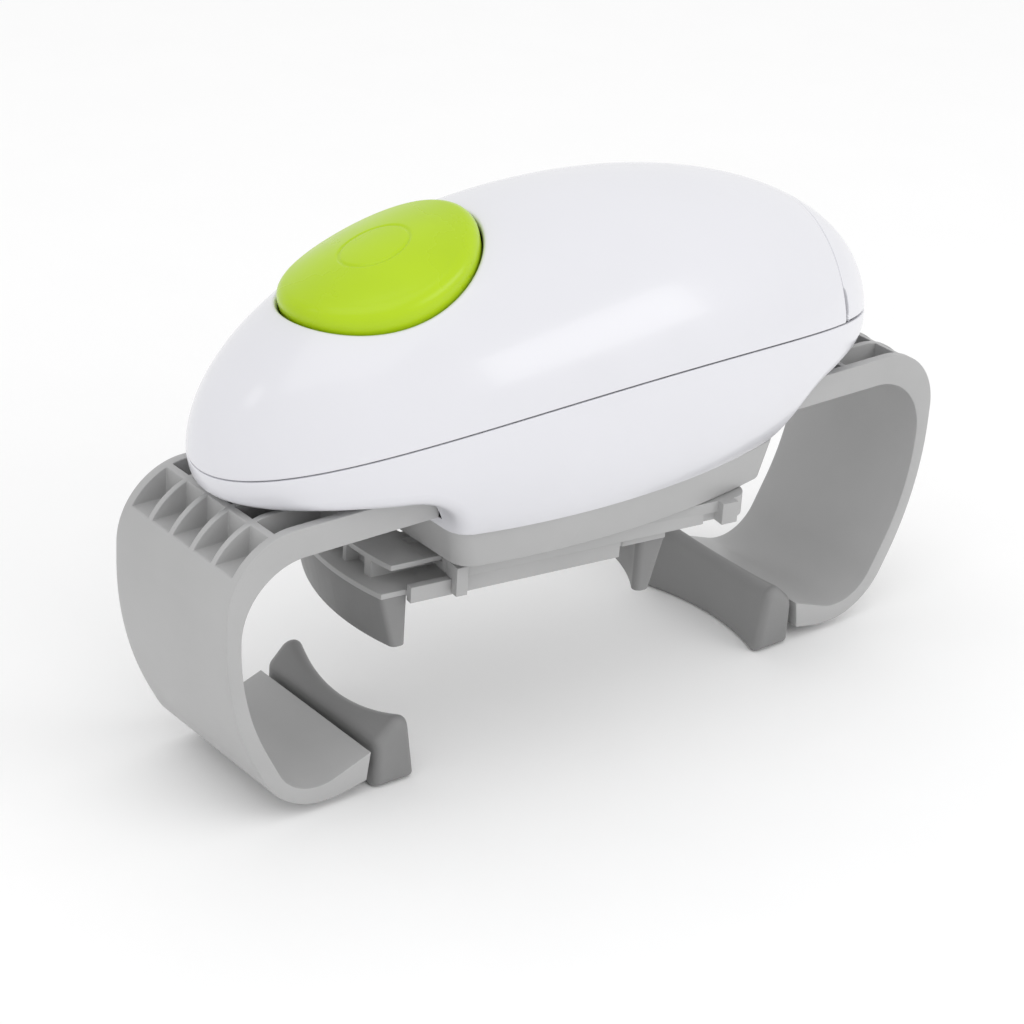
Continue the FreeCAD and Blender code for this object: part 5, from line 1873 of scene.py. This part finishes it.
class Studio:
    """Pale floor, soft lights and the camera."""

    def __init__(self, camera: CameraPlace) -> None:
        """Keeps the camera's place.

        Args:
            camera: the viewing angle.
        """
        self.camera = camera

    def build(self) -> None:
        """Makes the floor, the lights and the camera."""
        bpy.context.scene.view_settings.view_transform = "Standard"
        self._floor()
        self._world()
        self._area("key", (-0.30, -0.30, 1.1), (0.9, 0.9), 1.6)
        self._area("window", (0.46, -0.78, 0.52), (0.72, 0.30), 1.30)
        self._area("tip", (-0.84, 0.10, 0.72), (0.22, 0.22), 0.16)
        self._camera()

    def _floor(self) -> None:
        """Large pale floor, not part of the object."""
        size = 6.0
        corners = np.array([(-size, -size, 0), (size, -size, 0), (size, size, 0), (-size, size, 0)])
        floor = new_piece("studio_floor", corners, [(0, 1, 2, 3)])
        paper = Plastic("floor_paper", (0.96, 0.96, 0.96), 0.85, 0.05, 200.0, 0.02, 0.004, specular=0.1)
        floor.data.materials.append(paper.build())

    @staticmethod
    def _world() -> None:
        """Even white surroundings."""
        world = bpy.data.worlds.new("white_room")
        world.use_nodes = True
        world.node_tree.nodes["Background"].inputs["Color"].default_value = (1.0, 1.0, 1.0, 1.0)
        world.node_tree.nodes["Background"].inputs["Strength"].default_value = 0.93
        bpy.context.scene.world = world

    @staticmethod
    def _area(name: str, place: tuple, size: tuple[float, float], power: float) -> None:
        """One soft light aimed at the opener.

        Args:
            name: the light's name.
            place: where it hangs.
            size: its width and height.
            power: its power in watts.
        """
        aim = Vector((0.0, 0.0, 80.0 * MM))
        light = bpy.data.lights.new(name, "AREA")
        light.shape = "RECTANGLE"
        light.size, light.size_y = size
        light.energy = power
        lamp = bpy.data.objects.new(name, light)
        lamp.location = place
        lamp.rotation_euler = (aim - Vector(place)).to_track_quat("-Z", "Y").to_euler()
        bpy.context.scene.collection.objects.link(lamp)

    def _camera(self) -> None:
        """Camera in its place."""
        c = self.camera
        turn, rise, roll = (math.radians(value) for value in (c.turn, c.rise, c.roll))
        back = Vector((math.sin(turn) * math.cos(rise), -math.cos(turn) * math.cos(rise), math.sin(rise)))
        right = Vector((math.cos(turn), math.sin(turn), 0.0))
        up = back.cross(right)
        across = right * math.cos(roll) + up * math.sin(roll)
        above = up * math.cos(roll) - right * math.sin(roll)
        lens = bpy.data.cameras.new("camera")
        lens.sensor_fit = "HORIZONTAL"
        lens.sensor_width = c.sensor
        lens.lens = c.lens
        lens.clip_start = 0.01
        camera = bpy.data.objects.new("camera", lens)
        place = Matrix((across, above, back)).transposed().to_4x4()
        place.translation = Vector(c.target) + back * c.distance
        camera.matrix_world = place
        bpy.context.scene.collection.objects.link(camera)
        bpy.context.scene.camera = camera


def main() -> None:
    """Builds every piece in order."""
    logging.basicConfig(level=logging.INFO, format="%(message)s")
    wardrobe = Wardrobe(Finishes())
    wardrobe.dress_nodes()
    egg, seam, button, door, sizes = Egg(), Seam(), ButtonPlace(), DoorLine(), HousingSizes()
    ends = {Side.LEFT: EndSpace(Side.LEFT, 51.0 * MM, 0.0), Side.RIGHT: EndSpace(Side.RIGHT, 50.0 * MM, 6.0)}
    makers = [UpperShell(egg, seam, button, door, sizes), BatteryDoor(egg, seam, door, sizes),
              LowerShell(egg, seam, ends, sizes, LowerEdge()), PushButton(egg, button, ButtonSizes())]
    makers += [JarArm(side, ArmSizes()) for side in Side]
    makers += [ArmPad(side, ArmPadSizes()) for side in Side]
    makers += [PressedSpring(Moulding("button_spring", "steel", 0.05 * MM), egg, button),
               MouldedPiece(Moulding("base_cover", "grey_plastic", 0.7 * MM)),
               MouldedPiece(Moulding("carriage", "grey_plastic", 0.5 * MM))]
    for side in Side:
        makers += [MouldedPiece(Moulding(side.tag("jaw_slider"), "grey_plastic", 0.35 * MM)),
                   MouldedPiece(Moulding(side.tag("jaw_pad"), "grip_rubber", 0.8 * MM)),
                   JawShelf(side, ShelfSizes())]
    for maker in makers:
        piece = maker.build(wardrobe)
        LOG.info("built %s with %d faces", piece.name, len(piece.data.polygons))
    Studio(CameraPlace()).build()
    LOG.info("built the studio")


if __name__ == "__main__":
    main()
